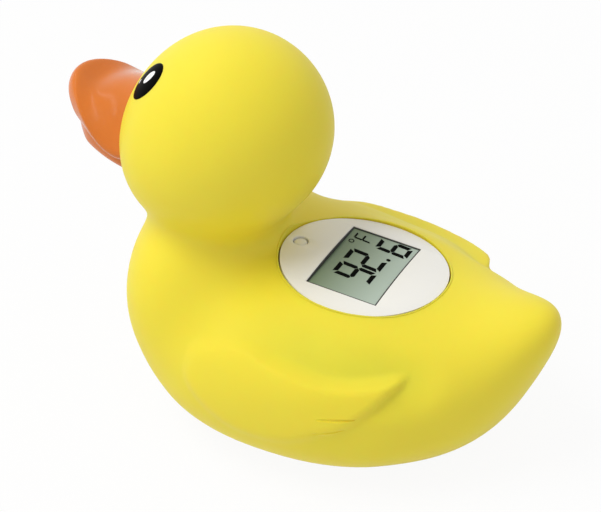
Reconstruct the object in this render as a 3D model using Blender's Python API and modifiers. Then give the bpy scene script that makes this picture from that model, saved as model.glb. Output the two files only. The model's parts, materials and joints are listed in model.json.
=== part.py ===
"""Floating duck bath temperature gauge: a soft hollow duck with a sealed electronic unit let into its back.

Millimetre sizes times MM give metres. The duck faces -Y, its left side is +X, and it stands on z = 0.
"""
import math

import bmesh
import bpy
import numpy as np
from mathutils import Matrix, Vector

MM = 0.001

# Duck form: five round masses blended together, each with its centre and half sizes
BODY_CENTRE = (0.0, 5.4 * MM, 17.8 * MM)
BODY_SEMI = (35.0 * MM, 40.1 * MM, 20.3 * MM)
BODY_SQUARENESS = 2.29
CHEST_CENTRE = (0.0, -22.0 * MM, 28.9 * MM)
CHEST_SEMI = (27.4 * MM, 15.8 * MM, 18.9 * MM)
TAIL_CENTRE = (0.0, 39.0 * MM, 20.7 * MM)
TAIL_SEMI = (12.5 * MM, 22.2 * MM, 8.9 * MM)
TAIL_LIFT = math.radians(43.5)
HEAD_CENTRE = (0.0, -16.8 * MM, 62.1 * MM)
HEAD_RADIUS = 20.7 * MM
CHEEK_CENTRE = (0.0, -20.8 * MM, 57.8 * MM)
CHEEK_SEMI = (22.6 * MM, 19.1 * MM, 18.5 * MM)
CHEST_BLEND = 8.3 * MM
TAIL_BLEND = 14.7 * MM
NECK_BLEND = 6.7 * MM
CHEEK_BLEND = 5.1 * MM
BELLY_BLEND = 0.4 * MM

# Skin
SKIN_WALL = 2.2 * MM
SKIN_MESH = 3.4 * MM
CAVITY_MESH = 7.0 * MM
FINE_MESH = 1.8 * MM
BEAK_FIT_MESH = 2.2 * MM
CLEARANCE = 0.3 * MM

# Wing: outline in side view as (y, z), raised from the flank
WING_OUTLINE = [
    (-13.8 * MM, 23.5 * MM), (-11.3 * MM, 28.8 * MM), (-4.5 * MM, 31.2 * MM), (5.7 * MM, 30.2 * MM),
    (16.6 * MM, 28.7 * MM), (26.0 * MM, 28.9 * MM), (33.2 * MM, 29.6 * MM), (31.2 * MM, 25.2 * MM),
    (24.8 * MM, 19.9 * MM), (14.8 * MM, 14.6 * MM), (1.1 * MM, 13.0 * MM), (-10.4 * MM, 18.0 * MM),
]
WING_RELIEF = 1.5 * MM
WING_SLOPE = 4.0 * MM
WING_INNER_X = 15.0 * MM

# Display plate: an oval let into the back, its middle and its lean towards the tail
PLATE_CENTRE = (0.0, 13.0 * MM, 36.9 * MM)
PLATE_LEAN = math.radians(4.6)
PLATE_SEMI_X = 16.3 * MM
PLATE_SEMI_Y = 18.0 * MM
PLATE_CROWN = 1.06 * MM
PLATE_DEPTH = 2.2 * MM
HOLE_HEADROOM = 2.0 * MM
LIP_WALL = 2.4 * MM
LIP_DEPTH = 4.6 * MM
SCREEN_WIDTH = 22.5 * MM
SCREEN_HEIGHT = 15.9 * MM
SCREEN_RECESS = 0.8 * MM
LIGHT_OFFSET = 14.9 * MM
LIGHT_RADIUS = 1.4 * MM

# Liquid crystal panel and its board, counted down from the middle of the plate's face
PANEL_THICKNESS = 1.9 * MM
HOLDER_THICKNESS = 2.1 * MM
HOLDER_CORNER = 2.0 * MM
HOLDER_END = 1.35 * MM
HOLDER_SIDE = 1.2 * MM
HOLDER_BAR = 1.2 * MM
STRIP_LENGTH = 20.4 * MM
STRIP_WIDTH = 1.2 * MM
STRIP_OFFSET = 6.8 * MM
BOARD_THICKNESS = 1.2 * MM
BOARD_SCREW_RADIUS = 0.5 * MM

# Case: an oval upper tube on a round lower cup that reaches the belly
CASE_WALL = 1.2 * MM
CASE_INSET = 0.3 * MM
CASE_SPLIT_Z = 14.3 * MM
BEAD_REACH = 1.4 * MM
LEDGE_REACH = 2.0 * MM
FLANGE_THICKNESS = 1.4 * MM
LIP_HEIGHT = 1.6 * MM
CUP_CENTRE_Y = 8.0 * MM
CUP_RADIUS = 13.0 * MM
CUP_WALL = 1.4 * MM
CUP_FLOOR = 1.5 * MM
CASE_SCREW_X = 9.6 * MM
CASE_SCREW_Y = 11.2 * MM
CASE_SCREW_RADIUS = 0.8 * MM
CASE_BOSS_RADIUS = 2.3 * MM
CASE_BOSS_HEIGHT = 6.5 * MM

# Belly: a round cover let into the flat underside
COVER_MARGIN = 2.5 * MM
COVER_RADIUS = CUP_RADIUS + COVER_MARGIN
COVER_BOTTOM_Z = 0.6 * MM
COVER_THICKNESS = 1.2 * MM
RECESS_DEPTH = 2.8 * MM
BELLY_WALL = 5.0 * MM
SEAL_THICKNESS = 0.4 * MM
COVER_SCREW_INSET = 3.0 * MM
COVER_SCREW_X = CUP_RADIUS - COVER_SCREW_INSET
COVER_SCREW_Y = 5.0 * MM
COVER_SCREW_RADIUS = 0.7 * MM
SCREW_SEAT_DEPTH = 0.75 * MM
SCREW_SEAT_RADIUS = 1.9 * MM

# Two button cells in a pocket over the belly door
CELL_RADIUS = 5.8 * MM
CELL_HEIGHT = 5.4 * MM
CELL_START_Z = 5.0 * MM
POCKET_OFFSET = 4.2 * MM
POCKET_WALL = 1.1 * MM
DOOR_RADIUS = 7.2 * MM
COIN_SLOT_LENGTH = 8.0 * MM
COIN_SLOT_WIDTH = 1.4 * MM
COIN_SLOT_DEPTH = 0.5 * MM
SPRING_HEIGHT = 2.0 * MM
SPRING_WIRE = 0.25 * MM
SPRING_TURNS = 3

# Sensor tip in the belly cover
SENSOR_OFFSET = 7.8 * MM
SENSOR_RADIUS = 2.7 * MM
SENSOR_FLANGE = 3.9 * MM
SENSOR_WALL = 0.4 * MM
SENSOR_TIP_Z = 0.25 * MM
LEAD_RADIUS = 0.35 * MM
LEAD_SPREAD = 1.6 * MM
LEAD_BOARD_Y = -10.0 * MM
LEAD_KNEE_Z = 21.0 * MM

# Eyes: ovals placed on the head by bearing from the front and height above level
EYE_BEARING = math.radians(34.3)
EYE_HEIGHT = math.radians(35.7)
EYE_ROLL = math.radians(-20.0)
EYE_SEMI_LONG = 4.9 * MM
EYE_SEMI_SHORT = 3.95 * MM
EYE_CURVE = 24.4 * MM
EYE_PROUD = 0.35 * MM
EYE_RECESS = 1.2 * MM

# Beak: half-oval bills that flare up to a round lip; a bill's curve is its height at the root,
# its first slope and its later rise towards the front
BEAK_ROOT_Y = -36.0 * MM
BEAK_AXIS_Z = 58.6 * MM
UPPER_BILL_HALF_WIDTH = 13.4 * MM
UPPER_BILL_LENGTH = 18.8 * MM
UPPER_BILL_THICKNESS = 4.2 * MM
UPPER_BILL_RIDGE = (67.0 * MM, -8.3 * MM, 9.1 * MM)
UPPER_BILL_DROOP = (12.7 * MM, -10.0 * MM, -2.0 * MM)
LOWER_BILL_HALF_WIDTH = 7.9 * MM
LOWER_BILL_LENGTH = 13.8 * MM
LOWER_BILL_KEEL = (48.0 * MM, 3.5 * MM, 7.0 * MM)
LOWER_BILL_CURL = 2.2 * MM
SPIGOT_RADIUS = 5.0 * MM
SPIGOT_END_Y = -35.0 * MM

MERGE_DISTANCE = 0.01 * MM
PARTS = "bath_gauge_duck"
CUTTERS = "cutters"


# Scene and small helpers

def clear_scene():
    for item in list(bpy.data.objects):
        bpy.data.objects.remove(item, do_unlink=True)


def collection(name):
    found = bpy.data.collections.get(name)
    if found is None:
        found = bpy.data.collections.new(name)
        bpy.context.scene.collection.children.link(found)
    return found


def material(name, colour, roughness, metallic=0.0):
    found = bpy.data.materials.get(name)
    if found:
        return found
    made = bpy.data.materials.new(name)
    made.use_nodes = True
    shader = made.node_tree.nodes["Principled BSDF"]
    shader.inputs["Base Color"].default_value = (*colour, 1.0)
    shader.inputs["Roughness"].default_value = roughness
    shader.inputs["Metallic"].default_value = metallic
    return made


def mesh_object(name, bm, parent=None, group=CUTTERS):
    """Turn a bmesh into an object with outward faces."""
    bmesh.ops.recalc_face_normals(bm, faces=bm.faces)
    mesh = bpy.data.meshes.new(name)
    bm.to_mesh(mesh)
    bm.free()
    made = bpy.data.objects.new(name, mesh)
    collection(group).objects.link(made)
    made.parent = parent
    if group == CUTTERS:
        made.hide_render = True
        made.display_type = "WIRE"
    return made


def evaluated(item):
    """Replace an object's mesh by its evaluated one, in its own frame."""
    bpy.context.view_layer.update()
    graph = bpy.context.evaluated_depsgraph_get()
    mesh = bpy.data.meshes.new_from_object(item.evaluated_get(graph))
    item.modifiers.clear()
    old = item.data
    item.data = mesh
    bpy.data.meshes.remove(old)
    return item


def boolean(item, cutter, operation="DIFFERENCE"):
    step = item.modifiers.new(operation.title(), "BOOLEAN")
    step.operation = operation
    step.solver = "EXACT"
    step.object = cutter
    evaluated(item)
    bpy.data.objects.remove(cutter, do_unlink=True)
    bm = bmesh.new()
    bm.from_mesh(item.data)
    bmesh.ops.dissolve_degenerate(bm, dist=MERGE_DISTANCE, edges=bm.edges)
    bm.to_mesh(item.data)
    bm.free()
    return item


def finish(item, name, look):
    """Move a finished piece to the parts' collection under its own name."""
    for group in list(item.users_collection):
        group.objects.unlink(item)
    collection(PARTS).objects.link(item)
    item.name = name
    item.data.name = name
    item.hide_render = False
    item.display_type = "TEXTURED"
    item.data.materials.clear()
    item.data.materials.append(look)
    item.data.shade_smooth()
    item.data.set_sharp_from_angle(angle=math.radians(40.0))
    return item


def box(name, low, high, parent=None):
    bm = bmesh.new()
    bmesh.ops.create_cube(bm, size=1.0)
    size = [b - a for a, b in zip(low, high)]
    middle = [(a + b) / 2 for a, b in zip(low, high)]
    bmesh.ops.scale(bm, vec=size, verts=bm.verts)
    bmesh.ops.translate(bm, vec=middle, verts=bm.verts)
    return mesh_object(name, bm, parent)


def oval(name, semi_x, semi_y, low, high, centre=(0.0, 0.0), parent=None, segments=36):
    """An upright oval prism, or a cylinder when both half sizes are the same."""
    bm = bmesh.new()
    bmesh.ops.create_cone(bm, cap_ends=True, segments=segments, radius1=1.0, radius2=1.0, depth=1.0)
    bmesh.ops.scale(bm, vec=(semi_x, semi_y, high - low), verts=bm.verts)
    bmesh.ops.translate(bm, vec=(centre[0], centre[1], (low + high) / 2), verts=bm.verts)
    return mesh_object(name, bm, parent)


def cylinder(name, radius, low, high, centre=(0.0, 0.0), parent=None, segments=24):
    return oval(name, radius, radius, low, high, centre, parent, segments)


def turned(name, profile, steps, closed=False, centre=(0.0, 0.0), stretch_y=1.0, parent=None):
    """Turn a profile of (radius, height) round the upright axis, with an oval stretch if asked."""
    bm = bmesh.new()
    corners = [bm.verts.new((radius, 0.0, height)) for radius, height in profile]
    pairs = zip(corners, corners[1:] + corners[:1]) if closed else zip(corners, corners[1:])
    for first, second in pairs:
        bm.edges.new((first, second))
    mesh = bpy.data.meshes.new(name)
    bm.to_mesh(mesh)
    bm.free()
    made = bpy.data.objects.new(name, mesh)
    collection(CUTTERS).objects.link(made)
    screw = made.modifiers.new("Turn", "SCREW")
    screw.axis = "Z"
    screw.steps = steps
    screw.render_steps = steps
    screw.use_merge_vertices = True
    screw.merge_threshold = 0.00001
    evaluated(made)
    bm = bmesh.new()
    bm.from_mesh(made.data)
    bpy.data.objects.remove(made, do_unlink=True)
    bmesh.ops.remove_doubles(bm, verts=bm.verts, dist=0.000005)
    bmesh.ops.scale(bm, vec=(1.0, stretch_y, 1.0), verts=bm.verts)
    bmesh.ops.translate(bm, vec=(centre[0], centre[1], 0.0), verts=bm.verts)
    return mesh_object(name, bm, parent)


def wire(name, points, radius, look, parent=None):
    """A round wire through the points, as a curve with filled caps."""
    curve = bpy.data.curves.new(name, "CURVE")
    curve.dimensions = "3D"
    curve.bevel_depth = radius
    curve.bevel_resolution = 1
    curve.use_fill_caps = True
    spline = curve.splines.new("POLY")
    spline.points.add(len(points) - 1)
    for target, point in zip(spline.points, points):
        target.co = (*point, 1.0)
    made = bpy.data.objects.new(name, curve)
    collection(PARTS).objects.link(made)
    made.parent = parent
    made.data.materials.append(look)
    return made


def smooth_path(points, steps):
    """Points along a smooth curve through the given ones."""
    knots = [Vector(point) for point in points]
    knots = [knots[0] * 2 - knots[1]] + knots + [knots[-1] * 2 - knots[-2]]
    path = []
    for index in range(1, len(knots) - 2):
        before, start, end, after = knots[index - 1:index + 3]
        for step in range(steps):
            t = step / steps
            path.append(0.5 * (2 * start + (end - before) * t
                               + (2 * before - 5 * start + 4 * end - after) * t ** 2
                               + (3 * start - before - 3 * end + after) * t ** 3))
    return path + [knots[-2]]


# Duck form as a distance from its skin, negative inside

def smooth_min(first, second, reach):
    blend = np.maximum(reach - np.abs(first - second), 0.0) / reach
    return np.minimum(first, second) - blend * blend * reach * 0.25


def round_mass(points, centre, semi, power=2.0, lift=0.0):
    offset = points - np.array(centre)
    if lift:
        along = offset[:, 1] * math.cos(lift) + offset[:, 2] * math.sin(lift)
        across = offset[:, 2] * math.cos(lift) - offset[:, 1] * math.sin(lift)
        offset = np.stack([offset[:, 0], along, across], axis=1)
    ratio = np.abs(offset) / np.array(semi)
    reach = ((ratio ** power).sum(axis=1) + 1e-12) ** (1.0 / power)
    slope = np.linalg.norm(ratio ** (power - 1.0) / np.array(semi), axis=1) * reach ** (1.0 - power)
    return (reach - 1.0) / (slope + 1e-9)


def plain_form(points):
    """The duck without its wings."""
    head = round_mass(points, HEAD_CENTRE, (HEAD_RADIUS,) * 3)
    head = smooth_min(head, round_mass(points, CHEEK_CENTRE, CHEEK_SEMI), CHEEK_BLEND)
    body = round_mass(points, BODY_CENTRE, BODY_SEMI, BODY_SQUARENESS)
    body = smooth_min(body, round_mass(points, CHEST_CENTRE, CHEST_SEMI), CHEST_BLEND)
    tail = round_mass(points, TAIL_CENTRE, TAIL_SEMI, lift=TAIL_LIFT)
    body = smooth_min(body, tail, TAIL_BLEND)
    whole = smooth_min(body, head, NECK_BLEND)
    return -smooth_min(-whole, points[:, 2], BELLY_BLEND)


def closed_outline(corners, steps):
    """A smooth closed curve through the corners, as an array of (y, z)."""
    knots = np.array(corners)
    count = len(knots)
    path = []
    for index in range(count):
        before, start, end, after = (knots[(index + shift) % count] for shift in (-1, 0, 1, 2))
        for step in range(steps):
            t = step / steps
            path.append(0.5 * (2 * start + (end - before) * t
                               + (2 * before - 5 * start + 4 * end - after) * t ** 2
                               + (3 * start - before - 3 * end + after) * t ** 3))
    return np.array(path)


def depth_inside(points, outline):
    """How far each (y, z) point lies inside a closed outline, negative outside."""
    start = outline
    run = np.roll(outline, -1, axis=0) - start
    offset = points[:, None, :] - start[None, :, :]
    share = np.clip((offset * run).sum(axis=2) / (run * run).sum(axis=1), 0.0, 1.0)
    gap = np.linalg.norm(offset - share[:, :, None] * run, axis=2).min(axis=1)
    rises = (start[:, 1] > points[:, None, 1]) != (np.roll(start[:, 1], -1) > points[:, None, 1])
    rise = np.where(run[:, 1] == 0, 1e-12, run[:, 1])
    level = start[:, 0] + run[:, 0] * (points[:, None, 1] - start[:, 1]) / rise
    crossings = (rises & (level > points[:, None, 0])).sum(axis=1)
    return np.where(crossings % 2 == 1, gap, -gap)


def wing_height(points):
    """How far the wing stands out of the flank at each point."""
    inside = depth_inside(points[:, 1:], closed_outline(WING_OUTLINE, 6))
    share = np.clip(inside / WING_SLOPE + 0.5, 0.0, 1.0)
    height = WING_RELIEF * share * share * (3.0 - 2.0 * share)
    return np.where(np.abs(points[:, 0]) > WING_INNER_X, height, 0.0)


def duck_form(points):
    return plain_form(points) - wing_height(points)


def settle(bm, form, offset=0.0, rounds=6):
    """Move a mesh's vertices along the form's slope until they lie on it."""
    points = np.array([vert.co for vert in bm.verts])
    probe = 0.01 * MM
    for _ in range(rounds):
        value = form(points) - offset
        slope = np.stack([(form(points + probe * axis) - form(points - probe * axis)) / (2 * probe)
                          for axis in np.eye(3)], axis=1)
        points = points - slope * (value / np.maximum((slope * slope).sum(axis=1), 0.05))[:, None]
    for vert, point in zip(bm.verts, points):
        vert.co = point


def relax(bm, rounds):
    every_way = {"use_axis_x": True, "use_axis_y": True, "use_axis_z": True}
    for _ in range(rounds):
        bmesh.ops.smooth_vert(bm, verts=bm.verts, factor=0.5, **every_way)


def ball(bm, centre, semi, lift=0.0):
    made = bmesh.ops.create_uvsphere(bm, u_segments=48, v_segments=24, radius=1.0)
    place = Matrix.Translation(centre) @ Matrix.Rotation(lift, 4, "X") @ Matrix.Diagonal((*semi, 1.0))
    bmesh.ops.transform(bm, matrix=place, verts=made["verts"])


def even_faces(bm, name, spacing):
    """The same surface meshed again with faces of one size."""
    rough = mesh_object(name, bm)
    remesh = rough.modifiers.new("Even faces", "REMESH")
    remesh.mode = "VOXEL"
    remesh.voxel_size = spacing
    evaluated(rough)
    bm = bmesh.new()
    bm.from_mesh(rough.data)
    bpy.data.objects.remove(rough, do_unlink=True)
    return bm


def duck_skin(name, spacing, form, offset=0.0):
    """An even mesh of the form: its round masses joined and settled on it finely, then coarsely."""
    bm = bmesh.new()
    ball(bm, BODY_CENTRE, BODY_SEMI)
    ball(bm, CHEST_CENTRE, CHEST_SEMI)
    ball(bm, TAIL_CENTRE, TAIL_SEMI, TAIL_LIFT)
    ball(bm, HEAD_CENTRE, (HEAD_RADIUS,) * 3)
    ball(bm, CHEEK_CENTRE, CHEEK_SEMI)
    bm = even_faces(bm, name, FINE_MESH)
    relax(bm, 8)
    settle(bm, form, offset)
    bm = even_faces(bm, name, spacing)
    for _ in range(4):
        relax(bm, 1)
        settle(bm, form, offset, rounds=3)
    return mesh_object(name, bm)


# Frames that pieces are placed in

def display_frame():
    """An empty at the middle of the plate's face, its +Z out of the plate."""
    frame = bpy.data.objects.new("display_frame", None)
    frame.location = PLATE_CENTRE
    frame.rotation_euler = (-PLATE_LEAN, 0.0, 0.0)
    collection(PARTS).objects.link(frame)
    bpy.context.view_layer.update()
    return frame


def case_centre_y(z):
    """Where the leaning case's middle crosses the height z."""
    return PLATE_CENTRE[1] - (PLATE_CENTRE[2] - z) * math.tan(PLATE_LEAN)


STRETCH = PLATE_SEMI_Y / PLATE_SEMI_X
CASE_RADIUS = PLATE_SEMI_X - CASE_INSET
CASE_INNER = CASE_RADIUS - CASE_WALL
COVER_TOP_Z = COVER_BOTTOM_Z + COVER_THICKNESS
CUP_BOTTOM_Z = COVER_TOP_Z + CLEARANCE
CUP_FLOOR_Z = CUP_BOTTOM_Z + CUP_FLOOR
FLANGE_TOP_Z = CASE_SPLIT_Z - CLEARANCE
FLANGE_BOTTOM_Z = FLANGE_TOP_Z - FLANGE_THICKNESS
POCKET_Y = CUP_CENTRE_Y + POCKET_OFFSET
POCKET_INNER = CELL_RADIUS + CLEARANCE
POCKET_OUTER = POCKET_INNER + POCKET_WALL
CELLS_TOP_Z = CELL_START_Z + 2 * CELL_HEIGHT + CLEARANCE
SPRING_TOP_Z = CELLS_TOP_Z + CLEARANCE + SPRING_HEIGHT
POCKET_CEILING_Z = SPRING_TOP_Z + CLEARANCE
POCKET_TOP_Z = POCKET_CEILING_Z + POCKET_WALL
SENSOR_Y = CUP_CENTRE_Y - SENSOR_OFFSET
PANEL_WIDTH = SCREEN_WIDTH - 2 * CLEARANCE
PANEL_HEIGHT = SCREEN_HEIGHT - 2 * CLEARANCE
PANEL_TOP = -SCREEN_RECESS
PANEL_BOTTOM = PANEL_TOP - PANEL_THICKNESS
HOLDER_TOP = PANEL_BOTTOM - CLEARANCE
HOLDER_BOTTOM = HOLDER_TOP - HOLDER_THICKNESS
BOARD_TOP = HOLDER_BOTTOM - CLEARANCE
BOARD_BOTTOM = BOARD_TOP - BOARD_THICKNESS
BELOW_BOARD = BOARD_BOTTOM - CLEARANCE


# Soft duck

def eye_frame(side):
    """Place and turn of an eye on the head's skin: +Z out of the head, +Y along the eye's long way."""
    ray = Vector((side * math.sin(EYE_BEARING) * math.cos(EYE_HEIGHT),
                  -math.cos(EYE_BEARING) * math.cos(EYE_HEIGHT), math.sin(EYE_HEIGHT)))
    place = Vector(HEAD_CENTRE) + ray * HEAD_RADIUS
    for _ in range(12):
        place -= ray * float(plain_form(np.array([place]))[0])
    probe = 0.01 * MM
    steps = np.eye(3) * probe
    outward = Vector(plain_form(np.array(place) + steps) - plain_form(np.array(place) - steps)).normalized()
    sideways = Vector((0.0, 0.0, 1.0)).cross(outward).normalized()
    upward = outward.cross(sideways)
    turn = Matrix((sideways, upward, outward)).transposed().to_4x4()
    return Matrix.Translation(place) @ turn @ Matrix.Rotation(side * EYE_ROLL, 4, "Z")


def eye_prism(name, side, margin, low, high):
    made = oval(name, EYE_SEMI_SHORT + margin, EYE_SEMI_LONG + margin, low, high, segments=32)
    made.matrix_world = eye_frame(side)
    return made


def build_duck_body(frame, look):
    skin = duck_skin("duck_body", SKIN_MESH, duck_form)
    cavity = duck_skin("cavity", CAVITY_MESH, plain_form, -SKIN_WALL)
    hole_x = PLATE_SEMI_X + CLEARANCE
    hole_y = PLATE_SEMI_Y + CLEARANCE
    top = HOLE_HEADROOM
    lip = oval("lip", hole_x + LIP_WALL, hole_y + LIP_WALL, -LIP_DEPTH, top, parent=frame)
    boolean(cavity, lip)
    rim_radius = COVER_RADIUS + CLEARANCE + LIP_WALL
    belly = cylinder("belly_rim", rim_radius, -SKIN_WALL, BELLY_WALL, (0.0, CUP_CENTRE_Y), segments=36)
    boolean(cavity, belly)
    boolean(skin, cavity)
    boolean(skin, oval("back_hole", hole_x, hole_y, -2 * LIP_DEPTH, top, parent=frame, segments=64))
    middle = (0.0, CUP_CENTRE_Y)
    recess_radius = COVER_RADIUS + CLEARANCE
    boolean(skin, cylinder("cover_recess", recess_radius, -SKIN_WALL, RECESS_DEPTH, middle, segments=36))
    cup_radius = CUP_RADIUS + CLEARANCE
    boolean(skin, cylinder("cup_hole", cup_radius, -SKIN_WALL, 2 * BELLY_WALL, middle, segments=36))
    for side in (-1, 1):
        boolean(skin, eye_prism("eye_recess", side, CLEARANCE, -EYE_RECESS, EYE_RECESS))
    socket = cylinder("beak_socket", SPIGOT_RADIUS + CLEARANCE, BEAK_ROOT_Y * 2, HEAD_CENTRE[1])
    socket.matrix_world = beak_axis_frame()
    boolean(skin, socket)
    return finish(skin, "duck_body", look)


def beak_axis_frame():
    """Turns an upright cylinder to lie along Y, at the beak's height."""
    return Matrix.Translation((0.0, 0.0, BEAK_AXIS_Z)) @ Matrix.Rotation(math.radians(-90.0), 4, "X")


def build_eye(side, look):
    name = "eye_left" if side > 0 else "eye_right"
    eye = eye_prism(name, side, 0.0, CLEARANCE - EYE_RECESS, EYE_RECESS)
    bm = bmesh.new()
    bmesh.ops.create_uvsphere(bm, u_segments=64, v_segments=48, radius=EYE_CURVE + EYE_PROUD)
    dome = mesh_object("eye_dome", bm)
    dome.matrix_world = eye.matrix_world @ Matrix.Translation((0.0, 0.0, -EYE_CURVE))
    boolean(eye, dome, "INTERSECT")
    return finish(eye, name, look)


def half_oval_grid(half_width, length, across, along):
    """Points of a half oval in plan, rows from the root to the round front."""
    rows = []
    for row in range(along + 1):
        v = row / along
        line = []
        for column in range(across + 1):
            u = 2.0 * column / across - 1.0
            x = half_width * u * math.sqrt(1.0 - v * v / 2)
            y = BEAK_ROOT_Y - length * v * math.sqrt(1.0 - u * u / 2)
            line.append((x, y))
        rows.append(line)
    return rows


def along_bill(curve, t):
    return curve[0] + curve[1] * t + curve[2] * t * t


def upper_bill_z(x, y):
    """Height of the upper bill's middle surface: arched at the root, flared up at the front."""
    t = (BEAK_ROOT_Y - y) / UPPER_BILL_LENGTH
    droop = along_bill(UPPER_BILL_DROOP, t)
    return along_bill(UPPER_BILL_RIDGE, t) - droop * (x / UPPER_BILL_HALF_WIDTH) ** 2


def lower_bill_z(x, y):
    """Height of the lower bill's underside."""
    t = (BEAK_ROOT_Y - y) / LOWER_BILL_LENGTH
    return along_bill(LOWER_BILL_KEEL, t) + LOWER_BILL_CURL * (x / LOWER_BILL_HALF_WIDTH) ** 2


def build_beak(look):
    bm = bmesh.new()
    grid = half_oval_grid(UPPER_BILL_HALF_WIDTH, UPPER_BILL_LENGTH, 8, 6)
    verts = [[bm.verts.new((x, y, upper_bill_z(x, y))) for x, y in line] for line in grid]
    for row, ahead in zip(verts, verts[1:]):
        for column in range(len(row) - 1):
            bm.faces.new((row[column], row[column + 1], ahead[column + 1], ahead[column]))
    upper = mesh_object("beak", bm)
    shell = upper.modifiers.new("Thickness", "SOLIDIFY")
    shell.thickness = UPPER_BILL_THICKNESS
    shell.offset = 0.0
    rounding = upper.modifiers.new("Rounding", "SUBSURF")
    rounding.levels = 1
    rounding.render_levels = 1
    evaluated(upper)

    bm = bmesh.new()
    grid = half_oval_grid(LOWER_BILL_HALF_WIDTH, LOWER_BILL_LENGTH, 6, 5)
    low = [[bm.verts.new((x, y, lower_bill_z(x, y))) for x, y in line] for line in grid]
    top = [[bm.verts.new((x, y, upper_bill_z(x, y))) for x, y in line] for line in grid]
    for sheet in (low, top):
        for row, ahead in zip(sheet, sheet[1:]):
            for column in range(len(row) - 1):
                bm.faces.new((row[column], row[column + 1], ahead[column + 1], ahead[column]))
    border = ring_of(low)
    cover = ring_of(top)
    for index in range(len(border)):
        after = (index + 1) % len(border)
        bm.faces.new((border[index], border[after], cover[after], cover[index]))
    lower = mesh_object("lower_bill", bm)
    rounding = lower.modifiers.new("Rounding", "SUBSURF")
    rounding.levels = 1
    rounding.render_levels = 1
    evaluated(lower)
    boolean(upper, lower, "UNION")
    head = duck_skin("head_face", BEAK_FIT_MESH, plain_form, CLEARANCE)
    boolean(upper, head)
    spigot = cylinder("spigot", SPIGOT_RADIUS, BEAK_ROOT_Y - UPPER_BILL_LENGTH * 0.45, SPIGOT_END_Y)
    spigot.matrix_world = beak_axis_frame()
    boolean(upper, spigot, "UNION")
    return finish(upper, "beak", look)


def ring_of(sheet):
    """The border of a grid of vertices, in order."""
    rows = len(sheet)
    ring = list(sheet[0])
    ring += [sheet[row][-1] for row in range(1, rows)]
    ring += list(reversed(sheet[-1][:-1]))
    ring += [sheet[row][0] for row in range(rows - 2, 0, -1)]
    return ring


# Display pieces, in the display frame

def build_face_plate(frame, look):
    plate = oval("face_plate", PLATE_SEMI_X, PLATE_SEMI_Y, -PLATE_DEPTH, PLATE_CROWN, parent=frame,
                 segments=64)
    radius = PLATE_SEMI_X ** 2 / (2 * PLATE_CROWN)
    crown = cylinder("crown", radius, -2 * PLATE_SEMI_Y, 2 * PLATE_SEMI_Y, parent=frame, segments=360)
    crown.matrix_local = Matrix.Translation((0.0, 0.0, -radius)) @ Matrix.Rotation(math.radians(90.0), 4, "X")
    boolean(plate, crown, "INTERSECT")
    half_w = SCREEN_WIDTH / 2
    half_h = SCREEN_HEIGHT / 2
    low = (-half_w, -half_h, -2 * PLATE_DEPTH)
    boolean(plate, box("aperture", low, (half_w, half_h, PLATE_DEPTH), frame))
    hole = cylinder("light_hole", LIGHT_RADIUS + CLEARANCE, -2 * PLATE_DEPTH, PLATE_DEPTH,
                    (0.0, -LIGHT_OFFSET), frame)
    boolean(plate, hole)
    return finish(plate, "face_plate", look)


def build_light_pipe(frame, look):
    stem = LIGHT_RADIUS * 0.57
    profile = [(0.0, -0.1 * MM), (LIGHT_RADIUS * 0.7, -0.15 * MM), (LIGHT_RADIUS, -0.4 * MM),
               (LIGHT_RADIUS, -PLATE_DEPTH), (stem, -PLATE_DEPTH - CLEARANCE), (stem, HOLDER_TOP),
               (0.0, HOLDER_TOP)]
    pipe = turned("alarm_light_pipe", profile, 20, centre=(0.0, -LIGHT_OFFSET), parent=frame)
    return finish(pipe, "alarm_light_pipe", look)


def build_alarm_led(frame, look):
    foot = HOLDER_BOTTOM
    top = HOLDER_TOP - CLEARANCE
    radius = 0.8 * MM
    profile = [(0.0, top), (0.5 * MM, top - 0.1 * MM), (radius, top - 0.5 * MM), (radius, foot), (0.0, foot)]
    led = turned("alarm_led", profile, 16, centre=(0.0, -LIGHT_OFFSET), parent=frame)
    return finish(led, "alarm_led", look)


def build_panel(frame, look):
    half_w = PANEL_WIDTH / 2
    half_h = PANEL_HEIGHT / 2
    panel = box("lcd_panel", (-half_w, -half_h, PANEL_BOTTOM), (half_w, half_h, PANEL_TOP), frame)
    return finish(panel, "lcd_panel", look)


def rounded_plate(name, half_w, half_h, corner, low, high, frame):
    """A rectangular plate with round corners, from a box with its upright edges bevelled."""
    plate = box(name, (-half_w, -half_h, low), (half_w, half_h, high), frame)
    bm = bmesh.new()
    bm.from_mesh(plate.data)
    upright = [edge for edge in bm.edges if abs(edge.verts[0].co.z - edge.verts[1].co.z) > (high - low) / 2]
    bmesh.ops.bevel(bm, geom=upright, offset=corner, segments=4, profile=0.5, affect="EDGES")
    bm.to_mesh(plate.data)
    bm.free()
    return plate


def build_holder(frame, look):
    half_w = STRIP_LENGTH / 2 + CLEARANCE + HOLDER_END
    half_h = PANEL_HEIGHT / 2 + HOLDER_SIDE
    holder = rounded_plate("lcd_holder", half_w, half_h, HOLDER_CORNER, HOLDER_BOTTOM, HOLDER_TOP, frame)
    window_w = STRIP_LENGTH / 2 - HOLDER_BAR
    window_h = STRIP_OFFSET - STRIP_WIDTH / 2 - HOLDER_BAR
    low = (-window_w, -window_h, BOARD_BOTTOM)
    boolean(holder, box("holder_window", low, (window_w, window_h, 0.0), frame))
    slot_w = STRIP_LENGTH / 2 + CLEARANCE
    slot_h = STRIP_WIDTH / 2 + CLEARANCE
    for side in (-1, 1):
        y = side * STRIP_OFFSET
        low = (-slot_w, y - slot_h, BOARD_BOTTOM)
        boolean(holder, box("strip_slot", low, (slot_w, y + slot_h, 0.0), frame))
    return finish(holder, "lcd_holder", look)


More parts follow.
